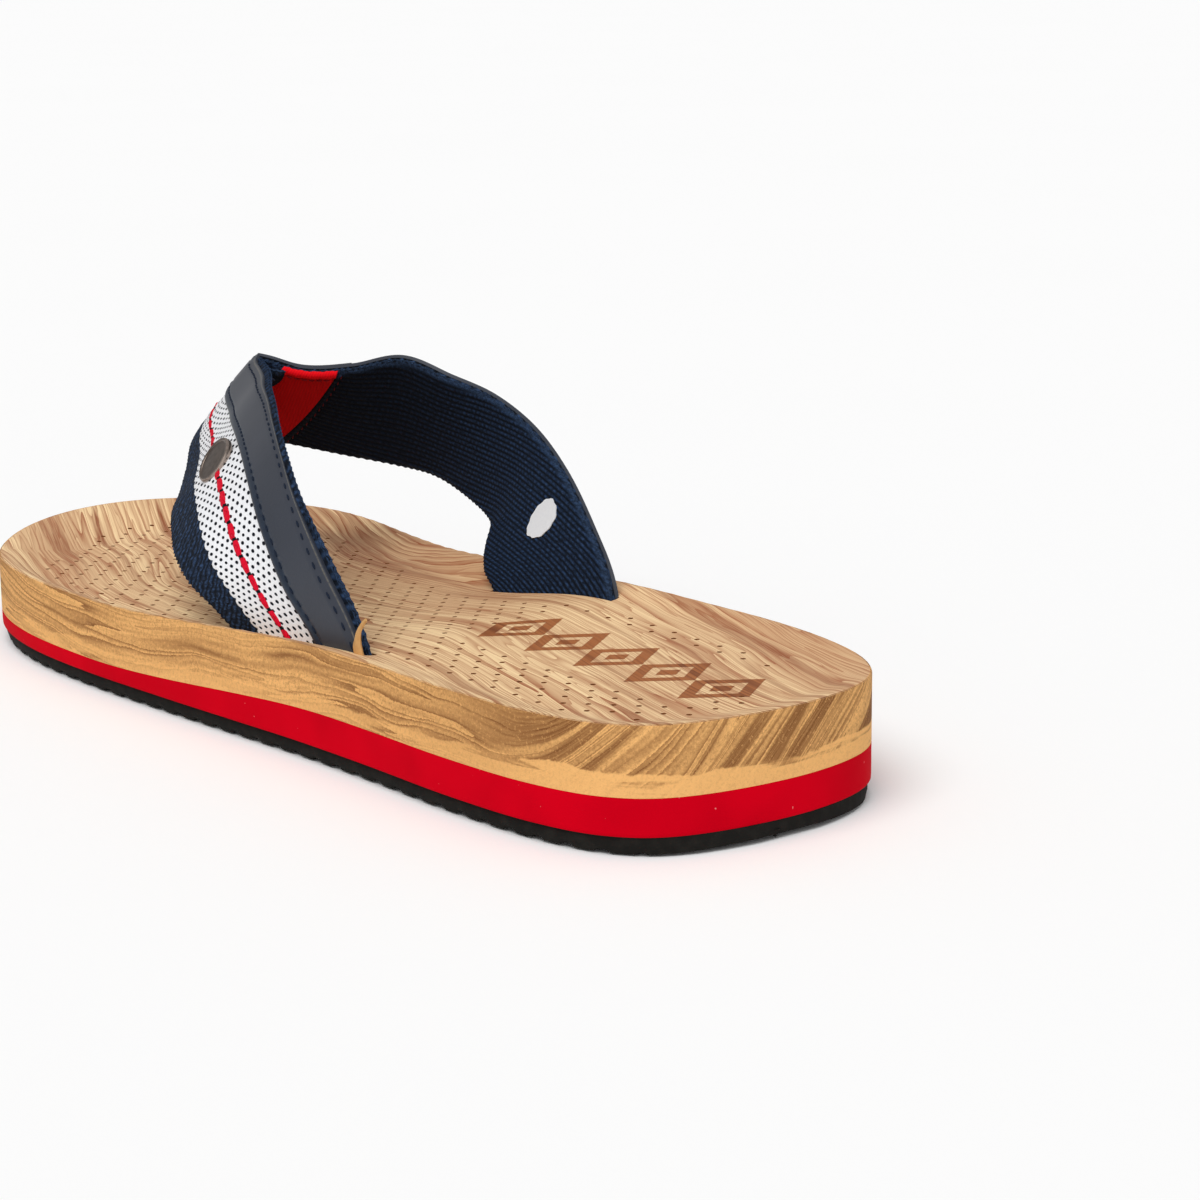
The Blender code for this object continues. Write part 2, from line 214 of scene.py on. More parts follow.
def footbed_top(x, y):
    """Height of the dished face that the foot stands on."""
    front = smooth((y - DISH_FROM) / DISH_EASE)
    depth = DISH_HEEL + (DISH_FRONT - DISH_HEEL) * front
    depth = depth + HOLLOW * medial_swell(x, y, HOLLOW_AT, HOLLOW_REACH)
    reach = DISH_REACH + (SCOOP_REACH - DISH_REACH) * smooth((y - SCOOP_FROM) / SCOOP_EASE)
    return rim(x, y) - depth * smooth(inset_of(x, y) / reach)


def leg_point(leg, along, across):
    """Points of one leg, 0 to 1 down from the mitre and 0 to 1 from the rear edge to the front."""
    knots = np.arange(len(leg)) / (len(leg) - 1)
    row = curve(knots, leg, along)
    return row[:, :3] + (row[:, 3:] - row[:, :3]) * across[:, None]


def leg_normal(leg, along, across, facing):
    """Unit normals of one leg; facing is -1 or 1, so that they point outwards."""
    low, high = np.clip(along - 0.01, 0, 1), np.clip(along + 0.01, 0, 1)
    run = leg_point(leg, high, across) - leg_point(leg, low, across)
    width = leg_point(leg, along, across * 0 + 1) - leg_point(leg, along, across * 0)
    normal = np.cross(run, width) * facing
    return normal / np.linalg.norm(normal, axis=1)[:, None]


def upper(along, across, offset=0.0):
    """Points over the V of webbing: along -1 lateral slot, 0 mitre, 1 medial slot; across 0 rear, 1 front."""
    along, across = np.asarray(along, float), np.asarray(across, float)
    size = np.abs(along)
    lateral = along < 0
    points = np.where(lateral[:, None], leg_point(LATERAL_LEG, size, across),
                      leg_point(MEDIAL_LEG, size, across))
    normals = np.where(lateral[:, None], leg_normal(LATERAL_LEG, size, across, -1.0),
                       leg_normal(MEDIAL_LEG, size, across, 1.0))
    mitre = along * 0
    other = np.where(lateral[:, None], leg_normal(MEDIAL_LEG, mitre, across, 1.0),
                     leg_normal(LATERAL_LEG, mitre, across, -1.0))
    blend = (smooth(1 - size / MITRE_BLEND) / 2)[:, None]
    normals = normals + (other - normals) * blend
    normals /= np.linalg.norm(normals, axis=1)[:, None]
    return points + normals * np.asarray(offset).reshape(-1, 1), normals


RUN_ALONG = np.linspace(-1, 1, 801)
RUN_POINTS = upper(RUN_ALONG, RUN_ALONG * 0 + 0.5)[0]
RUN_LENGTH = arc_lengths(RUN_POINTS)
RUN_LENGTH = RUN_LENGTH - np.interp(0, RUN_ALONG, RUN_LENGTH)


def length_at(along):
    """Millimetres along the webbing from the mitre."""
    return np.interp(along, RUN_ALONG, RUN_LENGTH)


def along_at(length):
    return np.interp(length, RUN_LENGTH, RUN_ALONG)


def drift(length, line):
    """How far a line of the outer face is pulled forward, by the slot's bend and by the mitre."""
    bend = SLOT_BEND * np.exp(-((length - SLOT_BEND_AT) / SLOT_BEND_REACH) ** 2)
    pull = MITRE_PULL * smooth(1 - np.abs(length) / MITRE_PULL_REACH)
    lines = [0, 1, 11, 20, 29, STRAP_WIDE]
    return (bend * np.interp(line, lines, [0, 0.65, 1, 0.7, 0.35, 0])
            + pull * np.interp(line, lines, [0, 0.5, 1, 1, 0.4, 0]))


def cloth(length, line, offset=0.0):
    """Points and normals on the upper: millimetres from the mitre, and from the rear edge."""
    length, line = np.asarray(length, float), np.asarray(line, float) * np.ones(len(length))
    line = line + np.where(np.asarray(offset) > 0, drift(length, line), 0.0)
    return upper(along_at(length), line / STRAP_WIDE, offset)


# ---- mesh helpers --------------------------------------------------------------------------

def deselect():
    if bpy.context.object and bpy.context.object.mode != "OBJECT":
        bpy.ops.object.mode_set(mode="OBJECT")
    bpy.ops.object.select_all(action="DESELECT")


def activate(piece):
    deselect()
    piece.select_set(True)
    bpy.context.view_layer.objects.active = piece


@contextmanager
def editing(piece, select="SELECT"):
    """Edit mode on one piece, with all of it or nothing selected."""
    activate(piece)
    bpy.ops.object.mode_set(mode="EDIT")
    bpy.ops.mesh.select_all(action=select)
    yield
    bpy.ops.object.mode_set(mode="OBJECT")


def read(items, name, width=1, kind=float):
    """One property of every point, edge, corner or face of a mesh, as an array."""
    flat = np.empty(len(items) * width, kind)
    items.foreach_get(name, flat)
    return flat.reshape(-1, width) if width > 1 else flat


def apply_modifier(piece, kind, **settings):
    activate(piece)
    modifier = piece.modifiers.new(kind.title(), kind)
    for key, value in settings.items():
        setattr(modifier, key, value)
    name = modifier.name
    bpy.ops.object.modifier_apply(modifier=name)
    if name in piece.modifiers or not piece.data.polygons:
        raise RuntimeError("%s could not take its %s" % (piece.name, name))


def cut(piece, tool):
    """Takes the tool's shape out of the piece, and removes the tool."""
    apply_modifier(piece, "BOOLEAN", object=tool, operation="DIFFERENCE", solver="MANIFOLD")
    bpy.data.objects.remove(tool, do_unlink=True)


def grid_piece(name, rows, columns, place):
    """Grid primitive whose points are moved by place(u, v), both 0 to 1; it returns points and UV."""
    deselect()
    bpy.ops.mesh.primitive_grid_add(x_subdivisions=rows, y_subdivisions=columns, size=1, calc_uvs=True)
    piece = bpy.context.object
    piece.name = piece.data.name = name
    mesh = piece.data
    flat = read(mesh.vertices, "co", 3)
    points, weave = place(flat[:, 0] + 0.5, flat[:, 1] + 0.5)
    mesh.vertices.foreach_set("co", (points * MM).ravel())
    corners = read(mesh.loops, "vertex_index", kind=int)
    mesh.uv_layers[0].data.foreach_set("uv", weave[corners].astype(np.float32).ravel())
    mesh.uv_layers[0].name = "weave"
    mesh.update()
    return piece


def outward(piece):
    """Closed piece with its faces pointing outwards."""
    with editing(piece):
        bpy.ops.mesh.normals_make_consistent(inside=False)


def thicken(piece, thickness, offset=0):
    """Closed piece made from an open sheet."""
    apply_modifier(piece, "SOLIDIFY", thickness=thickness * MM, offset=offset)
    outward(piece)


def select_boundary():
    """Selects the open edges of the piece that is being edited."""
    bpy.ops.mesh.select_all(action="DESELECT")
    bpy.ops.mesh.select_mode(type="EDGE")
    bpy.ops.mesh.select_non_manifold(extend=False, use_boundary=True, use_wire=False, use_multi_face=False,
                                     use_non_contiguous=False, use_verts=False)


def close_seam(piece):
    """Merges the two sides of a rolled grid's seam, and the points of its pole."""
    with editing(piece):
        bpy.ops.mesh.remove_doubles(threshold=SEAM * MM)


def close_tube(piece):
    """Closed tube from a rolled grid."""
    close_seam(piece)
    with editing(piece):
        bpy.ops.mesh.fill_holes(sides=0)
        bpy.ops.mesh.normals_make_consistent(inside=False)


def take_model():
    """Corners and faces of the primitive that was just added, which is removed."""
    model = bpy.context.object
    corners = np.array([v.co for v in model.data.vertices])
    faces = [list(p.vertices) for p in model.data.polygons]
    bpy.data.objects.remove(model, do_unlink=True)
    return corners, faces


def copies(name, model, middles, *axes):
    """One mesh with a copy of the model at each place, along three half sizes given as vectors."""
    corners, faces = model
    points = middles[:, None] + sum(corners[None, :, k:k + 1] * axis[:, None] for k, axis in enumerate(axes))
    starts = np.arange(len(middles)) * len(corners)
    mesh = bpy.data.meshes.new(name)
    mesh.from_pydata([tuple(p) for p in points.reshape(-1, 3) * MM], [],
                     [[start + k for k in face] for start in starts for face in faces])
    piece = bpy.data.objects.new(name, mesh)
    bpy.context.scene.collection.objects.link(piece)
    return piece


def join(name, pieces):
    deselect()
    for piece in pieces:
        piece.select_set(True)
    bpy.context.view_layer.objects.active = pieces[0]
    bpy.ops.object.join()
    joined = bpy.context.object
    joined.name = joined.data.name = name
    return joined


def finish_piece(piece, degrees, finish, slot, *nodes):
    """Shades the piece smooth up to an angle, gives it its material and the root body, and hides the imported
    parts that its nodes name. The slot is not used.
    """
    activate(piece)
    bpy.ops.object.shade_smooth_by_angle(angle=math.radians(degrees))
    if finish:
        piece.data.materials.clear()
        piece.data.materials.append(finish)
    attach(piece, "root")
    if nodes:
        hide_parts(*nodes)


def cloth_piece(name, rows, columns, shape):
    """Grid laid on the upper; shape(u, v) gives the length, the line across it and the offset."""
    def place(u, v):
        length, line, offset = shape(u, v)
        return cloth(length, line, offset * np.ones(len(u)))[0], np.column_stack([length, line])
    return grid_piece(name, rows, columns, place)


def strap_sheet(name, rows, columns, low, high, rear, front, offset, relief=None):
    """Sheet over the upper, between two lengths from the mitre and two lines across its width.

    A line is a number, or a function of the length; so is the relief, of length and line.
    """
    def shape(u, v):
        length = low + (high - low) * u
        first, last = (edge(length) if callable(edge) else edge for edge in (rear, front))
        line = first + (last - first) * v
        return length, line, offset + (relief(length, line) if relief else 0.0)
    sheet = cloth_piece(name, rows, columns, shape)
    face = sheet.data.polygons[len(sheet.data.polygons) // 2]
    weave = np.array(sheet.data.uv_layers[0].data[face.loop_start].uv)
    direction = cloth(weave[:1], weave[1:])[1][0]
    if np.dot(np.array(face.normal), direction) < 0:
        sheet.data.flip_normals()
    return sheet


# ---- material helpers ----------------------------------------------------------------------

def operation(name, swapped=False):
    """Method that adds one Math node, with its two inputs swapped if that is asked."""
    def apply(self, other=0.0):
        pair = (other, self) if swapped else (self, other)
        return self.finish.math(name, *pair)
    return apply


class Value:
    """Number that a material's nodes work out; arithmetic on it adds Math nodes."""

    def __init__(self, finish, socket):
        self.finish, self.socket = finish, socket

    __add__ = __radd__ = operation("ADD")
    __mul__ = __rmul__ = operation("MULTIPLY")
    __sub__, __rsub__ = operation("SUBTRACT"), operation("SUBTRACT", True)
    __truediv__, __rtruediv__ = operation("DIVIDE"), operation("DIVIDE", True)
    __gt__, __lt__ = operation("GREATER_THAN"), operation("LESS_THAN")
    __pow__ = operation("POWER")
    __abs__ = operation("ABSOLUTE")
    at_least = operation("MAXIMUM")
    fract, rounded = operation("FRACT"), operation("ROUND")
    sine, cosine, root = operation("SINE"), operation("COSINE"), operation("SQRT")


class Finish:
    """A Principled material and short names for the nodes that feed it."""

    def __init__(self, name, roughness=0.5, **sockets):
        self.material = bpy.data.materials.new(name)
        self.material.use_nodes = True
        self.tree = self.material.node_tree
        self.shader = self.tree.nodes["Principled BSDF"]
        self.shader.inputs["Roughness"].default_value = roughness
        self.color = None
        for key, value in sockets.items():
            self.shader.inputs[key.replace("_", " ")].default_value = value

    def node(self, kind, inputs=(), **settings):
        made = self.tree.nodes.new(kind)
        for key, value in settings.items():
            setattr(made, key, value)
        for key, value in dict(inputs).items():
            self.feed(made.inputs[key], value)
        return made

    def feed(self, socket, value):
        value = value.socket if isinstance(value, Value) else value
        if isinstance(value, bpy.types.NodeSocket):
            self.tree.links.new(value, socket)
        elif isinstance(value, tuple) and len(value) == 3 and len(socket.default_value) == 4:
            socket.default_value = (*value, 1.0)
        else:
            socket.default_value = value

    def math(self, name, a, b=0.0, clamp=False):
        made = self.node("ShaderNodeMath", {0: a, 1: b}, operation=name, use_clamp=clamp)
        return Value(self, made.outputs[0])

    def place(self, units=1000.0):
        """Object coordinates in millimetres."""
        coordinates = self.node("ShaderNodeTexCoord").outputs["Object"]
        return self.node("ShaderNodeMapping", {"Vector": coordinates, "Scale": (units,) * 3}).outputs[0]

    def weave(self):
        """Millimetres along and across the cloth, from the piece's own UV map."""
        return self.node("ShaderNodeUVMap", uv_map="weave").outputs[0]

    def split(self, vector):
        made = self.node("ShaderNodeSeparateXYZ", {"Vector": vector})
        return [Value(self, socket) for socket in made.outputs]

    def vector(self, x, y, z=0.0):
        return self.node("ShaderNodeCombineXYZ", {"X": x, "Y": y, "Z": z}).outputs[0]

    def noise(self, vector, scale, detail=3.0, rough=0.55):
        made = self.node("ShaderNodeTexNoise", {"Vector": vector, "Scale": scale, "Detail": detail,
                                                "Roughness": rough})
        return Value(self, made.outputs["Fac"])

    def remap(self, value, low, high, to_low=0.0, to_high=1.0):
        """Smooth step from one value at low to another at high."""
        made = self.node("ShaderNodeMapRange", {"Value": value, "From Min": low, "From Max": high,
                                                "To Min": to_low, "To Max": to_high},
                         interpolation_type="SMOOTHSTEP")
        return Value(self, made.outputs[0])

    def ramp(self, value, stops):
        made = self.node("ShaderNodeValToRGB", {"Fac": value})
        elements = made.color_ramp.elements
        while len(elements) < len(stops):
            elements.new(0.5)
        for element, (place, color) in zip(elements, stops):
            element.position = place
            element.color = (*color, 1.0)
        return made.outputs[0]

    def mix(self, share, a, b):
        made = self.node("ShaderNodeMix", data_type="RGBA")
        for index, value in ((0, share), (6, a), (7, b)):
            self.feed(made.inputs[index], value)
        return made.outputs[2]

    def lay(self, share, color):
        """Covers the colour so far with a share of another."""
        self.color = self.mix(share, self.color, color)
        return self.color

    def wave(self, value, pitch):
        """0 to 1 and back over each pitch."""
        return (value * (2 * math.pi / pitch)).cosine() * 0.5 + 0.5

    def paint(self, color):
        """Makes this the surface's colour."""
        self.feed(self.shader.inputs["Base Color"], color)

    def bump(self, height, depth, strength=1.0):
        made = self.node("ShaderNodeBump", {"Height": height, "Distance": depth * MM, "Strength": strength})
        self.feed(self.shader.inputs["Normal"], made.outputs[0])


def shade(color, gain):
    """The colour made darker or paler."""
    return tuple(min(1.0, gain * c) for c in color)


def between(a, b, share):
    """The colour that lies a share of the way from a to b."""
    return tuple((1.0 - share) * low + share * high for low, high in zip(a, b))


def mottled(name, roughness, gloss, first, second, scale, detail=3.0, rough=0.55, depth=0.05, strength=0.5):
    """Material of two tones that run into each other, with relief to match."""
    finish = Finish(name, roughness, Specular_IOR_Level=gloss)
    tone = finish.noise(finish.place(), scale, detail, rough)
    finish.paint(finish.mix(tone, first, second))
    if depth:
        finish.bump(tone, depth, strength)
    return finish.material


def tint(red, green, blue):
    """Linear colour of a swatch given as 0 to 255."""
    def linear(value):
        value /= 255.0
        return value / 12.92 if value <= 0.04045 else ((value + 0.055) / 1.055) ** 2.4
    return tuple(linear(value) for value in (red, green, blue))


# ---- settings ------------------------------------------------------------------------------

def swatch(name, description, red, green, blue):
    return FloatVectorProperty(name=name, description=description, subtype="COLOR", size=3,
                               default=tint(red, green, blue))


def measure(name, description, default, low, high):
    return FloatProperty(name=name, description=description, default=default * MM, min=low * MM,
                         max=high * MM, unit="LENGTH")


class SandalSole(PropertyGroup):
    """Sizes and colours of the sole."""
    wood_light: swatch("Wood, light", "Pale wood of the footbed", 255, 222, 172)
    wood_dark: swatch("Wood, dark", "Dark streaks of the footbed", 160, 86, 50)
    wall_light: swatch("Wall, light", "Plain foam of the footbed's wall", 242, 186, 117)
    wall_dark: swatch("Wall, dark", "Grain on the footbed's wall", 102, 52, 22)
    foam: swatch("Foam", "Foam wedge", 208, 0, 26)
    rubber: swatch("Rubber", "Outsole", 27, 26, 24)
    dimple_radius: measure("Dimple radius", "Radius of a dimple's mouth", 0.65, 0.2, 1.5)
    dimple_pitch: measure("Dimple pitch", "Distance along a row of dimples", 7.6, 3, 20)


class SandalUpper(PropertyGroup):
    """Sizes and colours of the straps."""
    navy: swatch("Navy", "Webbing and lining", 30, 42, 60)
    white: swatch("White", "Pale bands of the webbing", 244, 245, 248)
    red: swatch("Red", "Tape at the mitre and the toe post", 190, 2, 14)
    chain: swatch("Chain", "Chain of links in the webbing", 224, 6, 44)
    leather: swatch("Leather", "Trim strip", 54, 58, 68)
    stitch_pitch: measure("Stitch pitch", "Length of one stitch and its gap", 3.2, 1, 6)


class SandalMetal(PropertyGroup):
    """Finish of the rivet."""
    cap: swatch("Cap", "Dark plated metal", 122, 110, 102)
    back: swatch("Back", "Bare metal", 222, 176, 150)


class SandalStage(PropertyGroup):
    """Floor, light and camera."""
    floor: swatch("Floor", "Floor and backdrop", 255, 255, 255)
    light: FloatProperty(name="Light", description="Strength of the soft light", default=1.0, min=0.1, max=5)
    lens: FloatProperty(name="Lens", description="Focal length in millimetres", default=85.86, min=20,
                        max=200)


# ---- footbed -------------------------------------------------------------------------------

MARK_AT, MARK_PITCH, MARK_COUNT = -88.0, 17.0, 5     # chain of lozenges: its middle, pitch and number
MARK_X, LOZENGE_LONG, LOZENGE_WIDE = 4.0, 8.6, 12.0  # and their line and half sizes


def wood_top(sole):
    """Printed olive-wood look: growth rings that run lengthwise, drift, and crowd into streaks."""
    wood = Finish("footbed_wood_film", 0.6, Specular_IOR_Level=0.12)
    x, y, _ = wood.split(wood.place())

    def cloud(scale_x, scale_y, seed, detail=2.0, across=x):
        return wood.noise(wood.vector(across * scale_x, y * scale_y, seed), 1.0, detail, 0.5)

    # the grain swings towards the medial side at the toe and the waist, and back again at the heel
    swing = (y * (2 * math.pi / 205.0) - 0.35).sine() * 5.0 - y * 0.12 - (y - 112.0).at_least(0.0) * 0.22
    toe = wood.remap(y, 98.0, 132.0)
    front = wood.remap(y, 45.0, 100.0)
    wander = cloud(0.013, 0.0085, 1.0, 1.0) * (22.0 - front * 9.0)
    wavy = cloud(0.04, 0.026, 5.0) * (4.5 - front * 3.4)
    grain = x + wander + wavy + swing
    # broad rings with one soft and one sharp edge, and fine ones between them
    rings = (cloud(0.10, 0.0035, 2.0, 1.5, grain) * 15.0 + grain * 0.2).fract() ** 2.4
    fine = (cloud(0.21, 0.006, 21.0, 1.5, grain) * 17.0 + grain * -0.37).fract() ** 3.2
    patch = wood.remap(cloud(0.055, 0.010, 9.0, 3.0, grain), 0.36, 0.56, 0.35, 1.0)
    broad = cloud(0.085, 0.0045, 3.0, 3.0, grain)
    fibre = cloud(2.3, 0.06, 7.0, 3.0, grain)
    light, dark = tuple(sole.wood_light), tuple(sole.wood_dark)
    middle = between(light, dark, 0.50)
    wood.color = wood.ramp(broad, [(0.32, middle), (0.45, light), (0.75, light)])
    # darker clouds of tone, and a painted shadow of the strap along the waist; hardly any clouds over the
    # lateral rear
    pale_zone = wood.remap(x, 36.0, -20.0) * wood.remap(y, 70.0, 20.0)
    painted_strap_shadow = wood.remap(abs(y - 5.0), 65.0, 25.0) * wood.remap(x, -10.0, 15.0)
    clouds = wood.remap(cloud(0.035, 0.007, 15.0, 2.0, grain), 0.43, 0.62, 0.0, 0.80)
    wood.lay(clouds.at_least(painted_strap_shadow * 0.85) * (1.0 - pale_zone * 0.95), middle)
    strength = rings * patch
    wood.lay(strength * 0.95, dark)
    wood.lay(fine * 0.68, dark)
    streak = wood.remap(cloud(0.19, 0.006, 11.0, 3.0, grain), 0.55, 0.62, 0.0, 0.80)
    streak = wood.math("MULTIPLY", streak, toe * 0.6 + 0.75, clamp=True)
    wood.lay(streak, shade(dark, 0.80))
    wood.lay(wood.remap(fibre, 0.42, 0.64, 0.0, 0.45), middle)
    wood.lay(wood.remap(fibre, 0.40, 0.26, 0.0, 0.35), shade(light, 1.12))
    mark, border = heel_mark(wood, x, y)
    burnt = wood.mix(strength.at_least(streak * 0.9), tint(204, 120, 62), tint(112, 58, 30))
    burnt = wood.mix(border * 0.5, burnt, tint(104, 56, 30))
    wood.paint(wood.lay(mark * 0.94, burnt))
    wood.bump(fibre * 0.35 - (strength * 0.25 + mark), 0.22, 0.6)
    return wood.material


def heel_mark(wood, x, y):
    """Burnt chain of plain lozenges along the heel, each with a small one inside, and its edges."""
    along = (y - (MARK_AT - MARK_PITCH * MARK_COUNT / 2)) / MARK_PITCH
    step = along.fract() - 0.5
    within = (along > 0.0) * (along < MARK_COUNT)
    size = abs(step * (MARK_PITCH / LOZENGE_LONG)) + abs((x - MARK_X) / LOZENGE_WIDE)
    size = size + (wood.noise(wood.vector(x, y), 1.1, 2.0, 0.6) * 0.06 - 0.03)
    from_line = abs(size - 0.78)
    burnt = wood.remap(from_line, 0.21, 0.185).at_least(wood.remap(size, 0.3, 0.275))
    border = wood.remap(from_line, 0.13, 0.2).at_least(wood.remap(size, 0.2, 0.28))
    return burnt * within, border


def wood_wall(sole):
    """Cut wall: grain that wanders along the side and leans at the heel, over a plain band."""
    wall = Finish("footbed_wood_wall", 0.8, Specular_IOR_Level=0.10)
    u, v, _ = wall.split(wall.weave())
    place = wall.place()
    _, y, z = wall.split(place)

    def cloud(scale_v, scale_u, seed, detail=2.0, across=v):
        return wall.noise(wall.vector(across * scale_v, u * scale_u, seed), 1.0, detail, 0.55)

    heel = wall.remap(y, -75.0, -125.0)
    wander = cloud(0.03, 0.016, 1.0, 1.0) * (heel * 6.0 + 14.0)
    wavy = cloud(0.1, 0.04, 5.0) * 3.0
    grain = v + wall.noise(place, 1.3, 4.0, 0.8) * 0.8 + wander + wavy
    ring = (cloud(0.20, 0.006, 2.0, 2.0, grain) * 9.0 + grain * 0.34).fract()
    stroke = wall.remap(cloud(0.17, 0.008, 17.0, 2.0, grain), 0.47, 0.56) * (heel * 0.72 + 0.1)
    bunch = wall.remap(cloud(0.13, 0.011, 4.0, 3.0, grain), 0.37, 0.52)
    fibre = cloud(2.2, 0.09, 7.0, 3.0, grain)
    speck = wall.noise(place, 1.5, 4.0, 0.8)
    light, dark = tuple(sole.wall_light), tuple(sole.wall_dark)
    middle = between(light, dark, 0.45)
    wall.color = wall.mix(ring ** 2.6 * 0.8, light, middle)
    wall.lay(bunch * (ring ** 1.6 * 0.8), dark)
    wall.lay(stroke, dark)
    wall.lay(wall.remap(fibre, 0.42, 0.64, 0.0, 0.50), middle)
    # plain foam below the grain, with a ragged edge that is higher at both ends
    low = z - wall.remap(y, WEDGE_TO, WEDGE_FROM, 7.4, 11.6)
    edge = wall.noise(wall.vector(u * 0.045, 3.0), 1.0, 2.0, 0.5) * 5.5 + 0.2
    edge = edge + wall.remap(abs(y), 60.0, 120.0) * 1.6 + (wall.noise(place, 0.35, 3.0, 0.7) * 1.6 - 0.8)
    plain = wall.remap(low - edge, 0.35, -0.15)
    smudge = wall.remap(cloud(0.35, 0.03, 13.0, 3.0, z), 0.54, 0.64, 0.0, 0.75)
    plain = plain * (0.95 - smudge) * (heel * 0.35 + 0.65)
    wall.lay(plain, light)
    rough = 1.0 - plain * 0.7
    wall.lay(wall.remap(speck, 0.47, 0.66, 0.0, 0.6) * rough, between(middle, dark, 0.5))
    wall.lay(wall.remap(speck, 0.46, 0.3, 0.0, 0.5) * rough, shade(light, 1.12))
    wall.paint(wall.color)
    wall.bump(fibre * 0.6 + speck, 0.2, 0.8)
    return wall.material


DIMPLE_ROWS, DIMPLE_STEPS, DIMPLE_X = range(-16, 18), range(-20, 21), 3.0
DIMPLE_ROW_PITCH, DIMPLE_MARGIN, DIMPLE_DEEP = 0.44, 8.5, 2.2      # the first in dimple pitches
MARK_CLEAR_X, MARK_CLEAR_Y, POST_CLEAR = 17.5, 41.0, 7.0           # no dimples this near them


def dimple_places(pitch):
    """Middles of the dimples: rows along the foot, each second row moved on by half a pitch."""
    places = np.array([(DIMPLE_X + row * pitch * DIMPLE_ROW_PITCH, (step + row % 2 / 2) * pitch)
                       for row in DIMPLE_ROWS for step in DIMPLE_STEPS])
    places = places[np.abs(places[:, 1]) < HALF]
    x, y = places[:, 0], places[:, 1]
    left, right = sides(y)
    inside = (x > left) & (x < right)
    toe = smooth((y - 85) / 30)
    medial = smooth((x - (left + right) / 2) / 12)
    margin = DIMPLE_MARGIN + 4.5 * medial * (1 - toe + smooth((35 - y) / 25)) + 9.0 * toe
    mark = (np.abs(x - MARK_X - 1) < MARK_CLEAR_X) & (np.abs(y - MARK_AT) < MARK_CLEAR_Y)
    post = np.hypot(x - POST_X, y - POST_Y) < POST_CLEAR
    return places[inside & (inset_of(x, y) > margin) & ~mark & ~post]


LEAN_CLIMB, LEAN_REACH = 58.0, 62.0 / 1.15
WALL_TURNS = np.linspace(0, 2 * math.pi, 721)
WALL_ARC = arc_lengths(outline(WALL_TURNS))


def wall_lean(arc):
    """Height that the grain climbs along the wall: little on the sides, steep round the heel."""
    heel = np.interp(math.pi, WALL_TURNS, WALL_ARC)
    return -LEAN_CLIMB * np.tanh((arc - heel) / LEAN_REACH) + 3.0 * np.sin(arc / 23.0)


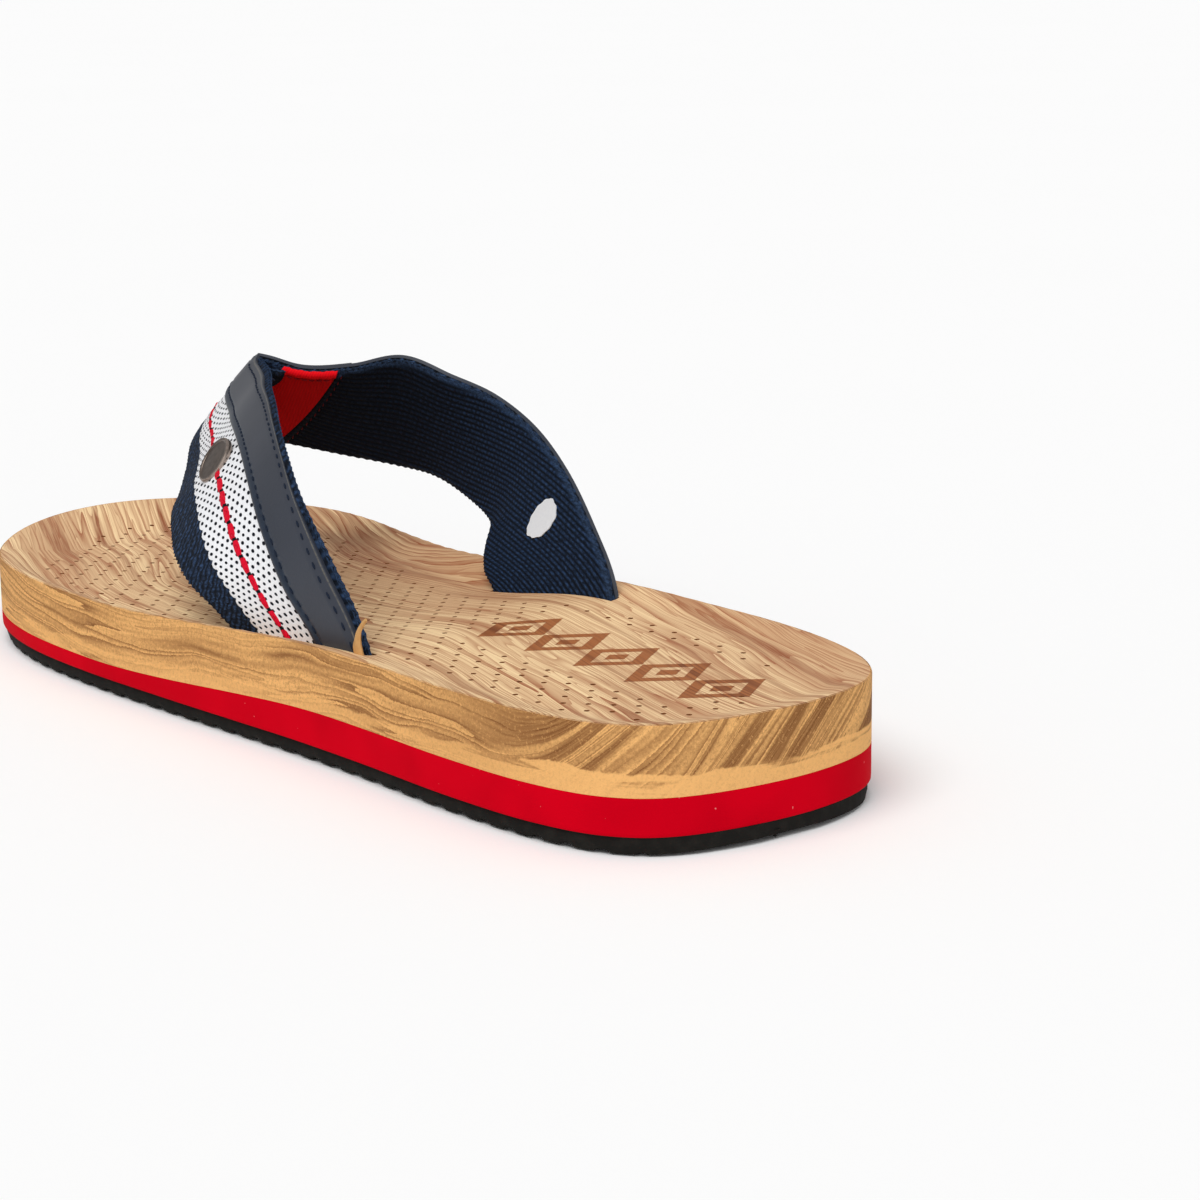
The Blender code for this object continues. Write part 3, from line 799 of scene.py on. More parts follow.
class SANDAL_OT_footbed(Operator):
    """Dished footbed with a wood-look face, cut walls, dimples and strap slots"""
    bl_idname = "sandal.footbed"
    bl_label = "Footbed"

    COLUMNS, WALL_ROWS = 240, 4
    RINGS = (0.0, 0.14, 0.30, 0.48, 0.66, 0.80, 0.90, 0.955, 0.985, 1.0)   # from the spine to the edge

    def execute(self, context):
        sole = context.scene.sandal_sole

        def place(u, v):
            edge = outline(u * 2 * math.pi)
            spine_y = edge[:, 1] * 0.72
            left, right = sides(spine_y)
            spine = np.stack([(left + right) / 2, spine_y], axis=1)
            share = np.interp(v, np.linspace(0, 1, len(self.RINGS)), self.RINGS)
            flat = spine + (edge - spine) * share[:, None]
            top = footbed_top(flat[:, 0], np.clip(flat[:, 1], -HALF, HALF))
            return np.column_stack([flat, top]), np.zeros((len(u), 2))

        bed = grid_piece("footbed_foam", self.COLUMNS, 36, place)
        close_seam(bed)
        if bed.data.polygons[len(bed.data.polygons) // 2].normal.z < 0:
            bed.data.flip_normals()
        self.soften_rim(bed, self.build_walls(bed))
        self.cut_openings(bed, sole)
        bed.data.materials.clear()
        # the dimples are painted darker than the foam of the wall: painted shade inside the holes
        inside = mottled("dimple_foam_painted_shade", 0.9, 0.05, tint(104, 58, 30), tint(146, 92, 52), 0.4, 2.0, depth=0)
        for finish in (wood_top(sole), wood_wall(sole), inside):
            bed.data.materials.append(finish)
        self.lay_grain(bed)
        finish_piece(bed, 35, None, "wood_look_foam", "footbed")
        return {"FINISHED"}

    def build_walls(self, bed):
        """Walls that go down to the wedge in even steps, and the underside; says which points are theirs."""
        with editing(bed):
            select_boundary()
            for _ in range(self.WALL_ROWS):
                bpy.ops.mesh.extrude_edges_move(TRANSFORM_OT_translate={"value": (0, 0, -1 * MM)})
        mesh = bed.data
        flat = read(mesh.vertices, "co", 3) / MM
        wall_rows = np.arange(len(flat)) >= len(flat) - self.WALL_ROWS * self.COLUMNS
        x, y = flat[:, 0], np.clip(flat[:, 1], -HALF, HALF)
        floor = midsole_top(y) + GAP - 0.05
        high = rim(x, y)
        step = np.round(high - flat[:, 2])
        flat[wall_rows, 2] = (high + (floor - high) * step / self.WALL_ROWS)[wall_rows]
        mesh.vertices.foreach_set("co", (flat * MM).ravel())
        mesh.update()
        with editing(bed):
            select_boundary()
            bpy.ops.mesh.edge_face_add()
        outward(bed)
        return wall_rows

    def soften_rim(self, bed, wall_rows):
        """Bevels the edge where the top meets the wall."""
        mesh = bed.data
        ends = read(mesh.edges, "vertices", 2, int)
        crossing = wall_rows[ends[:, 0]] != wall_rows[ends[:, 1]]
        on_rim = np.zeros(len(mesh.vertices), bool)
        on_rim[ends[crossing].ravel()] = True
        on_rim &= ~wall_rows
        with editing(bed, "DESELECT"):
            bpy.ops.mesh.select_mode(type="EDGE")
            bpy.ops.object.mode_set(mode="OBJECT")
            mesh.vertices.foreach_set("select", on_rim)
            mesh.edges.foreach_set("select", on_rim[ends].all(axis=1))
            bpy.ops.object.mode_set(mode="EDIT")
            bpy.ops.mesh.bevel(offset=0.4 * MM, segments=2, profile=0.5, affect="EDGES")

    def cut_openings(self, bed, sole):
        """Dimples, and the two slots that the straps go down into."""
        deselect()
        radius = sole.dimple_radius / MM
        bpy.ops.mesh.primitive_cone_add(vertices=10, radius1=radius * 0.6, radius2=radius * 1.35,
                                        depth=DIMPLE_DEEP, location=(0, 0, 0))
        x, y = dimple_places(sole.dimple_pitch / MM).T
        middles = np.column_stack([x, y, footbed_top(x, y) + 0.1])
        cut(bed, copies("dimples", take_model(), middles, *np.eye(3)[:, None]))
        for sign in (-1, 1):
            low, high = sorted((length_at(sign * 0.70), length_at(sign * 0.995)))
            slot = strap_sheet("slot", 24, 8, low, high, -0.3, STRAP_WIDE + 0.3, 0.0)
            thicken(slot, WEBBING + 0.5)
            cut(bed, slot)

    def lay_grain(self, bed):
        """Top, wall and dimple faces take their materials, and wall corners the grain's place."""
        mesh = bed.data
        centre, up = read(mesh.polygons, "center", 3) / MM, read(mesh.polygons, "normal", 3)[:, 2]
        x, y = centre[:, 0], np.clip(centre[:, 1], -HALF, HALF)
        depth = footbed_top(x, y) - centre[:, 2]
        edge = inset_of(x, y)
        wall = (edge < 0.9) & (up < 0.45) | (up < -0.5)
        hole = (depth > 0.12) & (edge > 3) & ~wall
        kind = np.where(wall, 1, np.where(hole, 2, 0)).astype(np.int32)
        mesh.polygons.foreach_set("material_index", kind)
        if not mesh.uv_layers:
            mesh.uv_layers.new(name="weave")
        corners = read(mesh.loops, "vertex_index", kind=int)
        points = read(mesh.vertices, "co", 3) / MM
        nearest = gaps(points[:, 0], points[:, 1], outline(WALL_TURNS[:-1])).argmin(axis=1)
        arc = WALL_ARC[nearest][corners]
        # a face that crosses the start of the arc counts on past its end
        starts, totals = (read(mesh.polygons, name, kind=int) for name in ("loop_start", "loop_total"))
        highest = np.repeat(np.maximum.reduceat(arc, starts), totals)
        arc = np.where((highest - arc) > WALL_ARC[-1] / 2, arc + WALL_ARC[-1], arc)
        weave = np.column_stack([arc, points[corners, 2] - wall_lean(arc)])
        mesh.uv_layers[0].data.foreach_set("uv", weave.astype(np.float32).ravel())


# ---- midsole and outsole -------------------------------------------------------------------

def ring_piece(name, columns, profile):
    """Closed band round the sole: profile(turns) gives rows of inset and height."""
    turns = np.arange(columns) * 2 * math.pi / columns
    rows = np.array([(inset + turns * 0, height) for inset, height in profile(turns)])

    def place(u, v):
        row = np.round(v * (len(rows) - 1)).astype(int)
        column = np.round(u * columns).astype(int) % columns
        inset, height = rows[row, 0, column], rows[row, 1, column]
        return np.column_stack([outline(turns[column], inset), height]), np.zeros((len(u), 2))

    ring = grid_piece(name, columns, len(rows) - 1, place)
    close_seam(ring)
    with editing(ring):
        select_boundary()
        bpy.ops.mesh.edge_face_add()
    outward(ring)
    return ring


def foam_finish(sole):
    foam = Finish("wedge_foam", 0.6, Specular_IOR_Level=0.01)
    place = foam.place()
    cell = foam.noise(place, 1.6, 3.0, 0.6)
    cloud = foam.noise(place, 0.04, 2.0, 0.5)
    red = tuple(sole.foam)
    foam.color = foam.mix(foam.remap(cloud, 0.35, 0.65), red, shade(red, 0.86))
    fleck = foam.remap(foam.noise(place, 0.9, 1.0, 0.5), 0.80, 0.83)
    foam.paint(foam.lay(fleck, tint(226, 120, 120)))
    foam.bump(cell, 0.05, 0.35)
    return foam.material


def rubber_finish(sole):
    rubber = Finish("outsole_rubber", 0.75, Specular_IOR_Level=0.08)
    place = rubber.place()
    dust = rubber.noise(place, 0.25, 4.0, 0.65)
    grit = rubber.noise(place, 2.4, 3.0, 0.6)
    base = tuple(sole.rubber)
    rubber.paint(rubber.mix(rubber.remap(dust, 0.4, 0.75, 0.0, 0.5), base, tint(44, 42, 38)))
    rubber.bump(grit, 0.06, 0.5)
    return rubber.material


class SANDAL_OT_midsole(Operator):
    """Foam wedge between footbed and outsole"""
    bl_idname = "sandal.midsole"
    bl_label = "Midsole"

    def execute(self, context):
        def profile(turns):
            y = outline(turns)[:, 1]
            low, high = midsole_bottom(y) - 0.25, midsole_top(y) + 0.22
            return [(5.0, low), (1.2, low), (0.2, low), (0.04, low + 0.2), (0.0, low + 0.8),
                    (0.0, (low + high) / 2), (0.0, high - 0.5), (0.03, high - 0.12), (0.12, high),
                    (5.0, high)]

        wedge = ring_piece("midsole_wedge", 300, profile)
        finish_piece(wedge, 35, foam_finish(context.scene.sandal_sole), "red_foam", "midsole")
        return {"FINISHED"}


class SANDAL_OT_outsole(Operator):
    """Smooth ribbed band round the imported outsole, which keeps its tread, and two nubs under the heel"""
    bl_idname = "sandal.outsole"
    bl_label = "Outsole"

    PROUD = 0.08                                   # of the band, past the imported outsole's wall
    NUBS = ((-1.0, -143.8), (15.0, -142.4))

    def lug(self, y):
        """Height of the tread's underside over its crests."""
        phase = np.mod(y / LUG_PITCH + 0.5, 1.0) - 0.5
        groove = smooth((np.abs(phase) - LUG_CREST / 2) / ((1 - LUG_CREST) / 4))
        return LUG_DEPTH * groove * (np.abs(y) < LUG_ROWS / 2 * LUG_PITCH)

    def execute(self, context):
        def profile(turns):
            y = outline(turns)[:, 1]
            base = ground(y)
            low = base + self.lug(y) + 0.8 * smooth((np.abs(y) - 137) / 8)
            middle, top = base + 0.45 * OUTSOLE, base + OUTSOLE
            wall, foot = OUTSOLE_INSET - self.PROUD, OUTSOLE_INSET - self.PROUD + OUTSOLE_DRAFT
            return [(9.0, low), (foot + 0.5, low), (foot, low + 0.25),
                    (wall + 0.5 * OUTSOLE_DRAFT, (low + middle) / 2), (wall, np.maximum(middle, low + 0.4)),
                    (wall, top - 0.4), (wall + 0.3, top), (9.0, top)]

        band = ring_piece("outsole_ribbed", 900, profile)
        sole = join("outsole_ribbed", [band] + [self.nub(x, y) for x, y in self.NUBS])
        rubber = rubber_finish(context.scene.sandal_sole)
        finish_piece(sole, 50, rubber, "black_rubber")
        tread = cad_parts["outsole"]
        tread.data.materials.clear()
        tread.data.materials.append(rubber)
        return {"FINISHED"}

    def nub(self, x, y):
        """Stub that moulding leaves under the heel's edge."""
        deselect()
        depth = 1.7
        bpy.ops.mesh.primitive_cone_add(vertices=10, radius1=0.25 * MM, radius2=1.0 * MM, depth=depth * MM,
                                        location=(x * MM, y * MM, depth / 2 * MM))
        bpy.ops.object.transform_apply(location=True, rotation=True, scale=True)
        return bpy.context.object


# ---- webbing and lining --------------------------------------------------------------------

LENGTH_LOW, LENGTH_HIGH = RUN_LENGTH[0], RUN_LENGTH[-1]   # at the lateral and the medial slot
WHITE_FROM, WHITE_TO = 10.6, 28.7      # across the webbing, from its rear edge
CHAIN_AT, CHAIN_WIDE, CHAIN_PITCH = 20.4, 1.0, 5.6
MESH_PITCH, MESH_ROWS = 3.75, 1.94     # holes along the strap, and pairs of rows across it
HOLE_COS, HOLE_SIN = 0.94, 0.34        # of the angle that a hole is turned by
STRETCH_FROM, STRETCH_EASE, STRETCH = -112.0, 28.0, 0.47
PICOT = 0.75


def mesh_run(length):
    """Length as the holes and links count it: past the rivet they stand wider apart."""
    past = np.maximum(0.0, length - STRETCH_FROM)
    return length - STRETCH * past ** 2 / (past + STRETCH_EASE)


def chain_height(length, line):
    """How far the links stand up, 0 to 1."""
    link = np.abs(np.mod(mesh_run(length) / CHAIN_PITCH, 1.0) - 0.5) * 2
    reach = CHAIN_WIDE * np.sqrt(np.clip(1 - link ** 3, 0.02, 1))
    return np.clip(1 - ((line - CHAIN_AT) / reach) ** 2, 0, 1)


def picot_edge(length):
    """Looped front edge of the pale bands."""
    return WHITE_TO + PICOT * np.abs(np.sin(math.pi * mesh_run(length) / MESH_PITCH)) ** 0.8


def selvedge(depth, pitch, middle):
    """Wavy edge of woven cloth about one line."""
    return lambda length: middle + depth * np.cos(2 * math.pi * length / pitch)


def medial_bulge(length):
    """How far the front edge of the medial leg swells above its slot."""
    return BULGE * smooth((length - BULGE_FROM) / 14) * smooth((BULGE_TO - length) / 12)


def webbing_front(length):
    """Front selvedge: looped, and a little wider below the mitre."""
    wider = WIDER * smooth((length - WIDER_FROM) / 40) * smooth((WIDER_TO - length) / 20)
    loops = np.cos(2 * math.pi * length / 2.3) * (1 + 0.5 * np.sin(length * 1.1))
    return STRAP_WIDE + wider + medial_bulge(length) + 0.24 * loops


def webbing_relief(length, line):
    """Raised pale bands, chain links and rounded selvedges."""
    pale = smooth((line - WHITE_FROM) / 0.5) * smooth((picot_edge(length) - line) / 0.5)
    rounded = 2 - smooth(line / 1.3) - smooth((webbing_front(length) - line) / 1.3)
    return 0.30 * pale - 0.75 * rounded + 0.45 * chain_height(length, line)


def webbing_finish(colors):
    web = Finish("webbing_weave", 0.85, Specular_IOR_Level=0.15)
    place = web.weave()
    u, v, _ = web.split(place)
    navy, white, red = tuple(colors.navy), tuple(colors.white), tuple(colors.chain)
    dark = shade(navy, 0.14)
    lit = tuple(gain * c + 0.004 for gain, c in zip((2.4, 3.0, 3.5), navy))
    past = (u - STRETCH_FROM).at_least(0.0)
    run = u - past * past / (past + STRETCH_EASE) * STRETCH
    # navy twill: its ribs painted lit and the grooves between them painted shade
    slant = run * 0.55 + v * 0.62 + web.noise(place, 0.35, 2.0, 0.5) * 2.2
    bead = web.wave(run * 0.8 - v * 0.5, 1.4)
    fuzz = web.noise(place, 3.0, 3.0, 0.7)
    knot = web.remap(web.noise(web.vector(run * 0.7, v), 0.75, 2.0, 0.6), 0.36, 0.62)
    weave = web.wave(slant, 1.25) * (bead * 0.45 + 0.55) * (knot * 0.75 + 0.25)
    web.color = web.mix(weave, dark, lit)
    web.lay(web.remap(fuzz, 0.3, 0.8, 0.0, 0.3), navy)

    # pale mesh: rows of slanting holes, every second row moved on by half a pitch and smaller
    def hole(shift, half_long, half_wide):
        along, across = (((value * (1 / pitch) + shift).fract() - 0.5) * pitch
                         for value, pitch in ((run, MESH_PITCH), (v, MESH_ROWS)))
        spot = web.vector((along * HOLE_COS + across * HOLE_SIN) / half_long,
                          (across * HOLE_COS - along * HOLE_SIN) / half_wide)
        far = web.node("ShaderNodeVectorMath", {0: spot}, operation="LENGTH").outputs["Value"]
        return web.remap(far, 1.15, 0.88), web.remap(far, 1.9, 1.0)

    big, big_painted_shade = hole(0.0, 0.56, 0.42)
    small, small_painted_shade = hole(0.5, 0.49, 0.36)
    holes = big.at_least(small)
    # a faint painted shade round each hole
    tone = web.mix(big_painted_shade.at_least(small_painted_shade) * 0.05, white, shade(white, 0.62))
    tone = web.mix(web.wave(u * -0.45 + v, 0.97) * 0.07, tone, shade(white, 0.6))
    pale = web.mix(holes, tone, tint(12, 17, 30))
    picot = abs((run * (math.pi / MESH_PITCH)).sine()) ** 0.8 * PICOT + WHITE_TO
    in_pale = web.remap(v, WHITE_FROM - 0.1, WHITE_FROM + 0.1) * web.remap(picot - v, -0.08, 0.08)
    web.lay(in_pale, pale)
    # chain of links, each with a dark gap before the next
    turn = (run / CHAIN_PITCH).fract() - 0.5
    link = abs(turn) * 2.0
    side = v - CHAIN_AT
    inside = (1.0 - link ** 3.0).at_least(0.02).root() * CHAIN_WIDE - abs(side + turn * 0.35)
    in_link = web.remap(inside, -0.05, 0.08) * web.remap(link, 0.86, 0.8)
    gap = web.remap(abs(side), 0.8, 0.6) * web.remap(link, 0.76, 0.82)
    strand = web.wave(u * 0.3 + v, 0.5)
    web.lay(gap, dark)
    web.lay(in_link, web.mix(strand * 0.3, red, shade(red, 0.7)))
    web.paint(web.color)
    web.bump(web.mix(in_pale, knot * 0.8 + weave, strand * 0.3 - holes * 1.5), 0.34, 0.9)
    return web.material


LINING_PITCH, LINING_BEND, LINING_LEAN = 1.75, 0.0045, 0.55


def lining_phase(length, across):
    """Turns of the lining's ribs, which lean more and more towards the slots."""
    away = np.abs(length)
    return 2 * math.pi * (across - LINING_LEAN * away + LINING_BEND * away ** 2) / LINING_PITCH


def lining_finish(colors):
    lining = Finish("lining_twill", 0.9, Specular_IOR_Level=0.12)
    place = lining.weave()
    u, v, _ = lining.split(place)
    navy = tuple(colors.navy)
    away = abs(u)
    lean = v - away * LINING_LEAN + away * away * LINING_BEND
    step = (lean / LINING_PITCH).rounded() * 0.9
    bead = lining.wave(u + step - v * 0.35, 1.75)
    knot = lining.remap(lining.noise(place, 0.9, 3.0, 0.7), 0.36, 0.60, 0.25, 1.0)
    weave = lining.wave(lean, LINING_PITCH) * ((bead * 0.48 + 0.52) * knot)
    fuzz = lining.noise(place, 3.5, 3.0, 0.7)
    # twill ribs painted lit and the grooves between them painted shade
    lit = tuple(gain * c for gain, c in zip((2.4, 3.1, 3.8), navy))
    lining.color = lining.mix(weave, shade(navy, 0.20), lit)
    lining.lay(lining.remap(fuzz, 0.3, 0.8, 0.0, 0.35), shade(navy, 0.75))
    # painted shade, darker under the mitre; the rear edge is fluffy, with a painted highlight where it
    # catches the light
    lining.lay(lining.remap(away, 110.0, 25.0) * 0.86, shade(navy, 0.25))
    fluff = lining.remap(lining.noise(place, 1.9, 2.0, 0.6), 0.35, 0.65)
    fluff_and_highlight = lining.mix(fluff, shade(navy, 1.1), tint(52, 72, 102))
    lining.paint(lining.lay(lining.remap(v, 1.9, 0.6) * 0.7, fluff_and_highlight))
    lining.bump(fluff * 0.35 + weave, 0.3, 1.0)
    return lining.material


class SANDAL_OT_webbing(Operator):
    """Woven outer face of the straps, with pale bands and a chain of links"""
    bl_idname = "sandal.webbing"
    bl_label = "Webbing"

    def execute(self, context):
        web = strap_sheet("strap_webbing", 560, 66, LENGTH_LOW, LENGTH_HIGH, selvedge(0.12, 1.9, 0.1),
                          webbing_front, WEBBING / 2 - 0.15, webbing_relief)
        thicken(web, 1.0, -1)
        finish_piece(web, 50, webbing_finish(context.scene.sandal_upper), "navy_webbing", "strap")
        return {"FINISHED"}


class SANDAL_OT_lining(Operator):
    """Twill lining on the inner face of the straps"""
    bl_idname = "sandal.lining"
    bl_label = "Lining"

    def execute(self, context):
        def front(length):
            return selvedge(0.25, 2.2, STRAP_WIDE - 0.15)(length) + medial_bulge(length)

        def relief(length, across):
            edge = np.minimum(across, STRAP_WIDE + medial_bulge(length) - across)
            rib = np.cos(lining_phase(length, across)) * smooth(edge / 2.0)
            return 0.75 * (1 - smooth(edge / 1.8)) - 0.09 * rib

        lining = strap_sheet("strap_lining", 620, 66, LENGTH_LOW, LENGTH_HIGH, selvedge(0.15, 1.9, 0.15),
                             front, -WEBBING / 2 + 0.05, relief)
        lining.data.flip_normals()
        thicken(lining, 1.0, -1)
        finish_piece(lining, 50, lining_finish(context.scene.sandal_upper), "navy_webbing")
        return {"FINISHED"}


# ---- leather trim and stitches -------------------------------------------------------------

def leather_finish(colors):
    hide = Finish("trim_leather", 0.45, Specular_IOR_Level=0.3)
    place, weave = hide.place(), hide.weave()
    u, v, _ = hide.split(weave)
    cells = hide.node("ShaderNodeTexVoronoi", {"Vector": place, "Scale": 1.5}, feature="F1")
    crease = hide.noise(place, 0.5, 4.0, 0.6)
    cloud = hide.noise(place, 0.06, 3.0, 0.55)
    tuft = hide.noise(weave, 1.1, 3.0, 0.6)
    base = tuple(colors.leather)
    hide.color = hide.mix(hide.remap(cloud, 0.3, 0.7, 0.0, 0.6), base, shade(base, 0.82))
    # dark tufts of thread along the front row, then painted shadow along the cut edge
    band = hide.remap(v + (tuft * 2.4 - 1.2), FRONT_STITCHES - 0.9, FRONT_STITCHES - 0.4)
    band = band * hide.remap(v, TRIM_TO - 0.15, TRIM_TO - 0.5)
    hide.lay(band * 0.9, hide.mix(tuft, tint(14, 20, 32), tint(34, 50, 70)))
    hide.lay(hide.remap(v, TRIM_TO - 0.5, TRIM_TO - 0.15) * 0.9, tint(22, 28, 34))
    # broken pale line along the rear edge of the lateral strip
    rear = hide.remap(v, TRIM_FROM + 0.26, TRIM_FROM + 0.18) * hide.remap(u, -2.0, -6.0)
    rear = rear * hide.remap(v, TRIM_FROM + 0.08, TRIM_FROM + 0.13)
    broken = hide.remap(hide.noise(hide.vector(u, 0.0), 0.7, 3.0, 0.7), 0.35, 0.60, 0.15, 0.60)
    hide.paint(hide.lay(rear * broken, tint(122, 117, 104)))
    hide.bump(Value(hide, cells.outputs["Distance"]) * 0.4 + crease, 0.05, 0.5)
    return hide.material


def thread_finish(name, color):
    return mottled(name, 0.8, 0.2, shade(color, 0.7), shade(color, 1.2), 3.0, 2.0)


def stitch_row(name, lengths, lines, offset, long_mm, radius, slant=0.0):
    """Row of stitches on the upper: each lies along the row, or across the strap at a slant of 1."""
    lengths, lines = np.asarray(lengths, float), np.asarray(lines, float) * np.ones(len(lengths))
    middle, normal = cloth(lengths, lines, offset)
    ahead = cloth(lengths + 0.3 * (1 - slant), lines + 0.3 * slant, offset)[0]
    run = ahead - middle
    run /= np.linalg.norm(run, axis=1)[:, None]
    side = np.cross(normal, run)
    deselect()
    bpy.ops.mesh.primitive_uv_sphere_add(segments=8, ring_count=5, radius=1.0)
    return copies(name, take_model(), middle, run * long_mm / 2, side * radius, normal * radius)


def sew(name, rows, thread, color, slot):
    """Joins rows of stitches and gives them their thread."""
    finish_piece(join(name, rows), 60, thread_finish(thread, color), slot)


class SANDAL_OT_trim(Operator):
    """Leather strips along the rear edge of the webbing; the lateral one wraps over the mitre"""
    bl_idname = "sandal.trim"
    bl_label = "Leather trim"

    UNDER, WRAP = 12.0, 32.0           # lengths where the medial strip starts and the lateral one ends
    LIFT = 0.25

    def execute(self, context):
        colors = context.scene.sandal_upper
        base = WEBBING / 2 + GAP + TRIM - 0.15
        pitch = colors.stitch_pitch / MM
        hide = leather_finish(colors)
        low, high = LENGTH_LOW * 0.96, LENGTH_HIGH * 0.96

        def rear_edge(length):
            return TRIM_FROM - 0.35 * smooth((length + 4) / 4)

        def strip(name, columns, first, last, lift, *node):
            """Strip between two lengths; it lifts over the end of the other one past the mitre."""
            def relief(length, line):
                thin = -0.70 * (1 - smooth((line - rear_edge(length)) / 0.9))
                cut_edge = -0.22 * (1 - smooth((TRIM_TO - line) / 0.5))
                pressed = sum(-0.22 * np.exp(-((line - row) / 0.40) ** 2)
                              for row in (REAR_STITCHES, FRONT_STITCHES))
                return thin + cut_edge + pressed + lift * smooth((length + 3) / 10)

            made = strap_sheet(name, columns, 34, first, last, rear_edge, TRIM_TO, base, relief)
            thicken(made, TRIM - 0.1, -1)
            return made, node

        strips = [strip("trim_leather_lateral", 300, low, self.WRAP, self.LIFT, "leather_trim"),
                  strip("trim_leather_medial", 220, self.UNDER, high, 0.0)]
        for made, node in strips:
            finish_piece(made, 45, hide, "navy_leather", *node)
        rows = []
        for first, last, lift in ((low, -5.0, 0.0), (5.0, self.WRAP, self.LIFT), (self.WRAP + 2, high, 0.0)):
            lengths = np.arange(first + 1.5, last - 1, pitch)
            for number, line in enumerate((REAR_STITCHES, FRONT_STITCHES)):
                uneven = 0.16 * np.sin(lengths * 2.7 + number)
                rows.append(stitch_row("row", lengths + uneven, line + 0.4 * uneven, base + lift - 0.16,
                                       pitch * 0.66, 0.26))
        sew("trim_stitches", rows, "navy_thread", tint(21, 32, 50), "navy_leather")
        return {"FINISHED"}


# ---- tape, hem and toe post ----------------------------------------------------------------

def tape_finish(name, red):
    tape = Finish(name, 0.8, Specular_IOR_Level=0.12)
    place = tape.weave()
    u, v, _ = tape.split(place)
    rib, yarn = tape.wave(u, 0.9), tape.wave(v, 0.8)
    fuzz = tape.noise(place, 1.3, 3.0, 0.65)
    tape.color = tape.mix(rib, shade(red, 0.82), red)
    tape.paint(tape.lay(tape.remap(fuzz, 0.3, 0.8, 0.0, 0.45), shade(red, 0.72)))
    tape.bump(yarn * 0.3 + rib, 0.07, 0.6)
    return tape.material


class SANDAL_OT_tape(Operator):
    """Red tape that lines the mitre, its rolled fold, the navy cover and the stitched hems beside it"""
    bl_idname = "sandal.tape"
    bl_label = "Mitre tape"

    HALF_REAR, HALF_FRONT = 28.4, 17.0
    REAR = {1: 1.4, -1: 2.6}          # line where the tape starts on the medial and the lateral leg
    COVER = {1: -0.5, -1: 1.7}        # and where the cover over its seam starts
    FRONT = 33.5
    FOLD_FROM, FOLD_RADIUS, FOLD_THICK = 9.5, 1.35, 0.95
    HEM_OFFSET = -WEBBING / 2 - 0.45

    def half_at(self, line):
        """Length where the tape ends, at a line across the strap."""
        return self.HALF_REAR + (self.HALF_FRONT - self.HALF_REAR) * line / STRAP_WIDE

    def both_legs(self, name, rows, columns, thickness, shape):
        """Sheets on the two legs; shape(sign, u, v) gives length, line and offset."""
        legs = []
        for sign in (1, -1):
            leg = cloth_piece("leg", rows, columns, lambda u, v: shape(sign, u, v))
            thicken(leg, thickness)
            legs.append(leg)
        return join(name, legs)

    def execute(self, context):
        colors = context.scene.sandal_upper
        red = tuple(colors.red)

        def shape(sign, u, v):
            line = self.REAR[sign] + (self.FRONT - self.REAR[sign]) * v
            return sign * (1.0 + (self.half_at(line) - 1.0) * u), line, -TAPE_OFFSET

        tape = self.both_legs("mitre_tape", 50, 44, 0.8, shape)
        finish_piece(tape, 50, tape_finish("red_ribbed_tape", red), "red_tape", "toe_post")
        # the fold is painted paler than the tape: a painted highlight on its rolled edge
        self.fold(shade(red, 1.7))
        self.hems(colors)
        self.corner(colors)
        return {"FINISHED"}

    def fold(self, red):
        """Rolled end of the tape, over the rear edge of the medial leg, and its seam."""
        def place(u, v):
            length = self.FOLD_FROM + (self.HALF_REAR - self.FOLD_FROM) * u
            turn = v * 2 * math.pi
            plump = 1 + 0.07 * np.sin(length * 1.3) + 0.05 * np.sin(length * 2.9)
            line = 0.35 + self.FOLD_RADIUS * np.cos(turn) * plump
            offset = -TAPE_OFFSET + 0.25 - self.FOLD_THICK * np.sin(turn) * plump
            return cloth(length, line, offset)[0], np.column_stack([length, v * 9])

        fold = grid_piece("mitre_tape_fold", 60, 18, place)
        close_tube(fold)
        finish_piece(fold, 50, tape_finish("red_tape_fold_painted_highlight", red), "red_tape")
        seam = stitch_row("fold_stitches", np.arange(self.FOLD_FROM + 4.0, self.HALF_REAR - 1, 2.4), 1.9,
                          -TAPE_OFFSET - 0.5, 1.8, 0.2)
        finish_piece(seam, 60, thread_finish("deep_red_thread", tint(120, 6, 18)), "red_tape")

    def corner(self, colors):
        """Navy cover over the mitre seam, held by a few red stitches."""
        def shape(sign, u, v):
            line = self.COVER[sign] + 15.5 * v
            reach = 11.5 - 8.0 * smooth((line - 4.0) / 10)
            length = 1.5 + (reach - 1.5) * u
            sunk = 0.6 * smooth((u - 0.8) / 0.2) + 0.12 * np.cos(length * 2.4)
            return sign * length, line, -TAPE_OFFSET - 1.0 + sunk

        cover = self.both_legs("mitre_cover", 24, 30, 0.7, shape)
        finish_piece(cover, 50, lining_finish(colors), "navy_webbing")
        rows = [stitch_row("row", sign * np.array([5.2, 8.4]), 4.5 + self.COVER[sign], -TAPE_OFFSET - 1.4,
                           1.5, 0.26) for sign in (-1, 1)]
        sew("cover_stitches", rows, "red_thread", tint(118, 8, 22), "red_tape")

    def hems(self, colors):
        """Folded edges of the two legs' linings, along the tape, and their stitches."""
        hems, rows = [], []
        for sign in (-1, 1):
            def shape(u, v):
                line, turn = 1.2 + 36.3 * u, v * 2 * math.pi
                length = sign * (self.half_at(line) + 1.0 + 1.1 * np.cos(turn))
                return length, line, self.HEM_OFFSET + 0.55 * np.sin(turn)
            hem = cloth_piece("hem", 60, 14, shape)
            close_tube(hem)
            hems.append(hem)
            lines = np.arange(2.2, 36.0, 2.5)
            rows.append(stitch_row("row", sign * (self.half_at(lines) + 2.3), lines, self.HEM_OFFSET + 0.1,
                                   1.5, 0.24, slant=1.0))
        finish_piece(join("mitre_hems", hems), 50, lining_finish(colors), "navy_webbing")
        sew("mitre_stitches", rows, "dark_red_thread", tint(88, 8, 22), "red_tape")


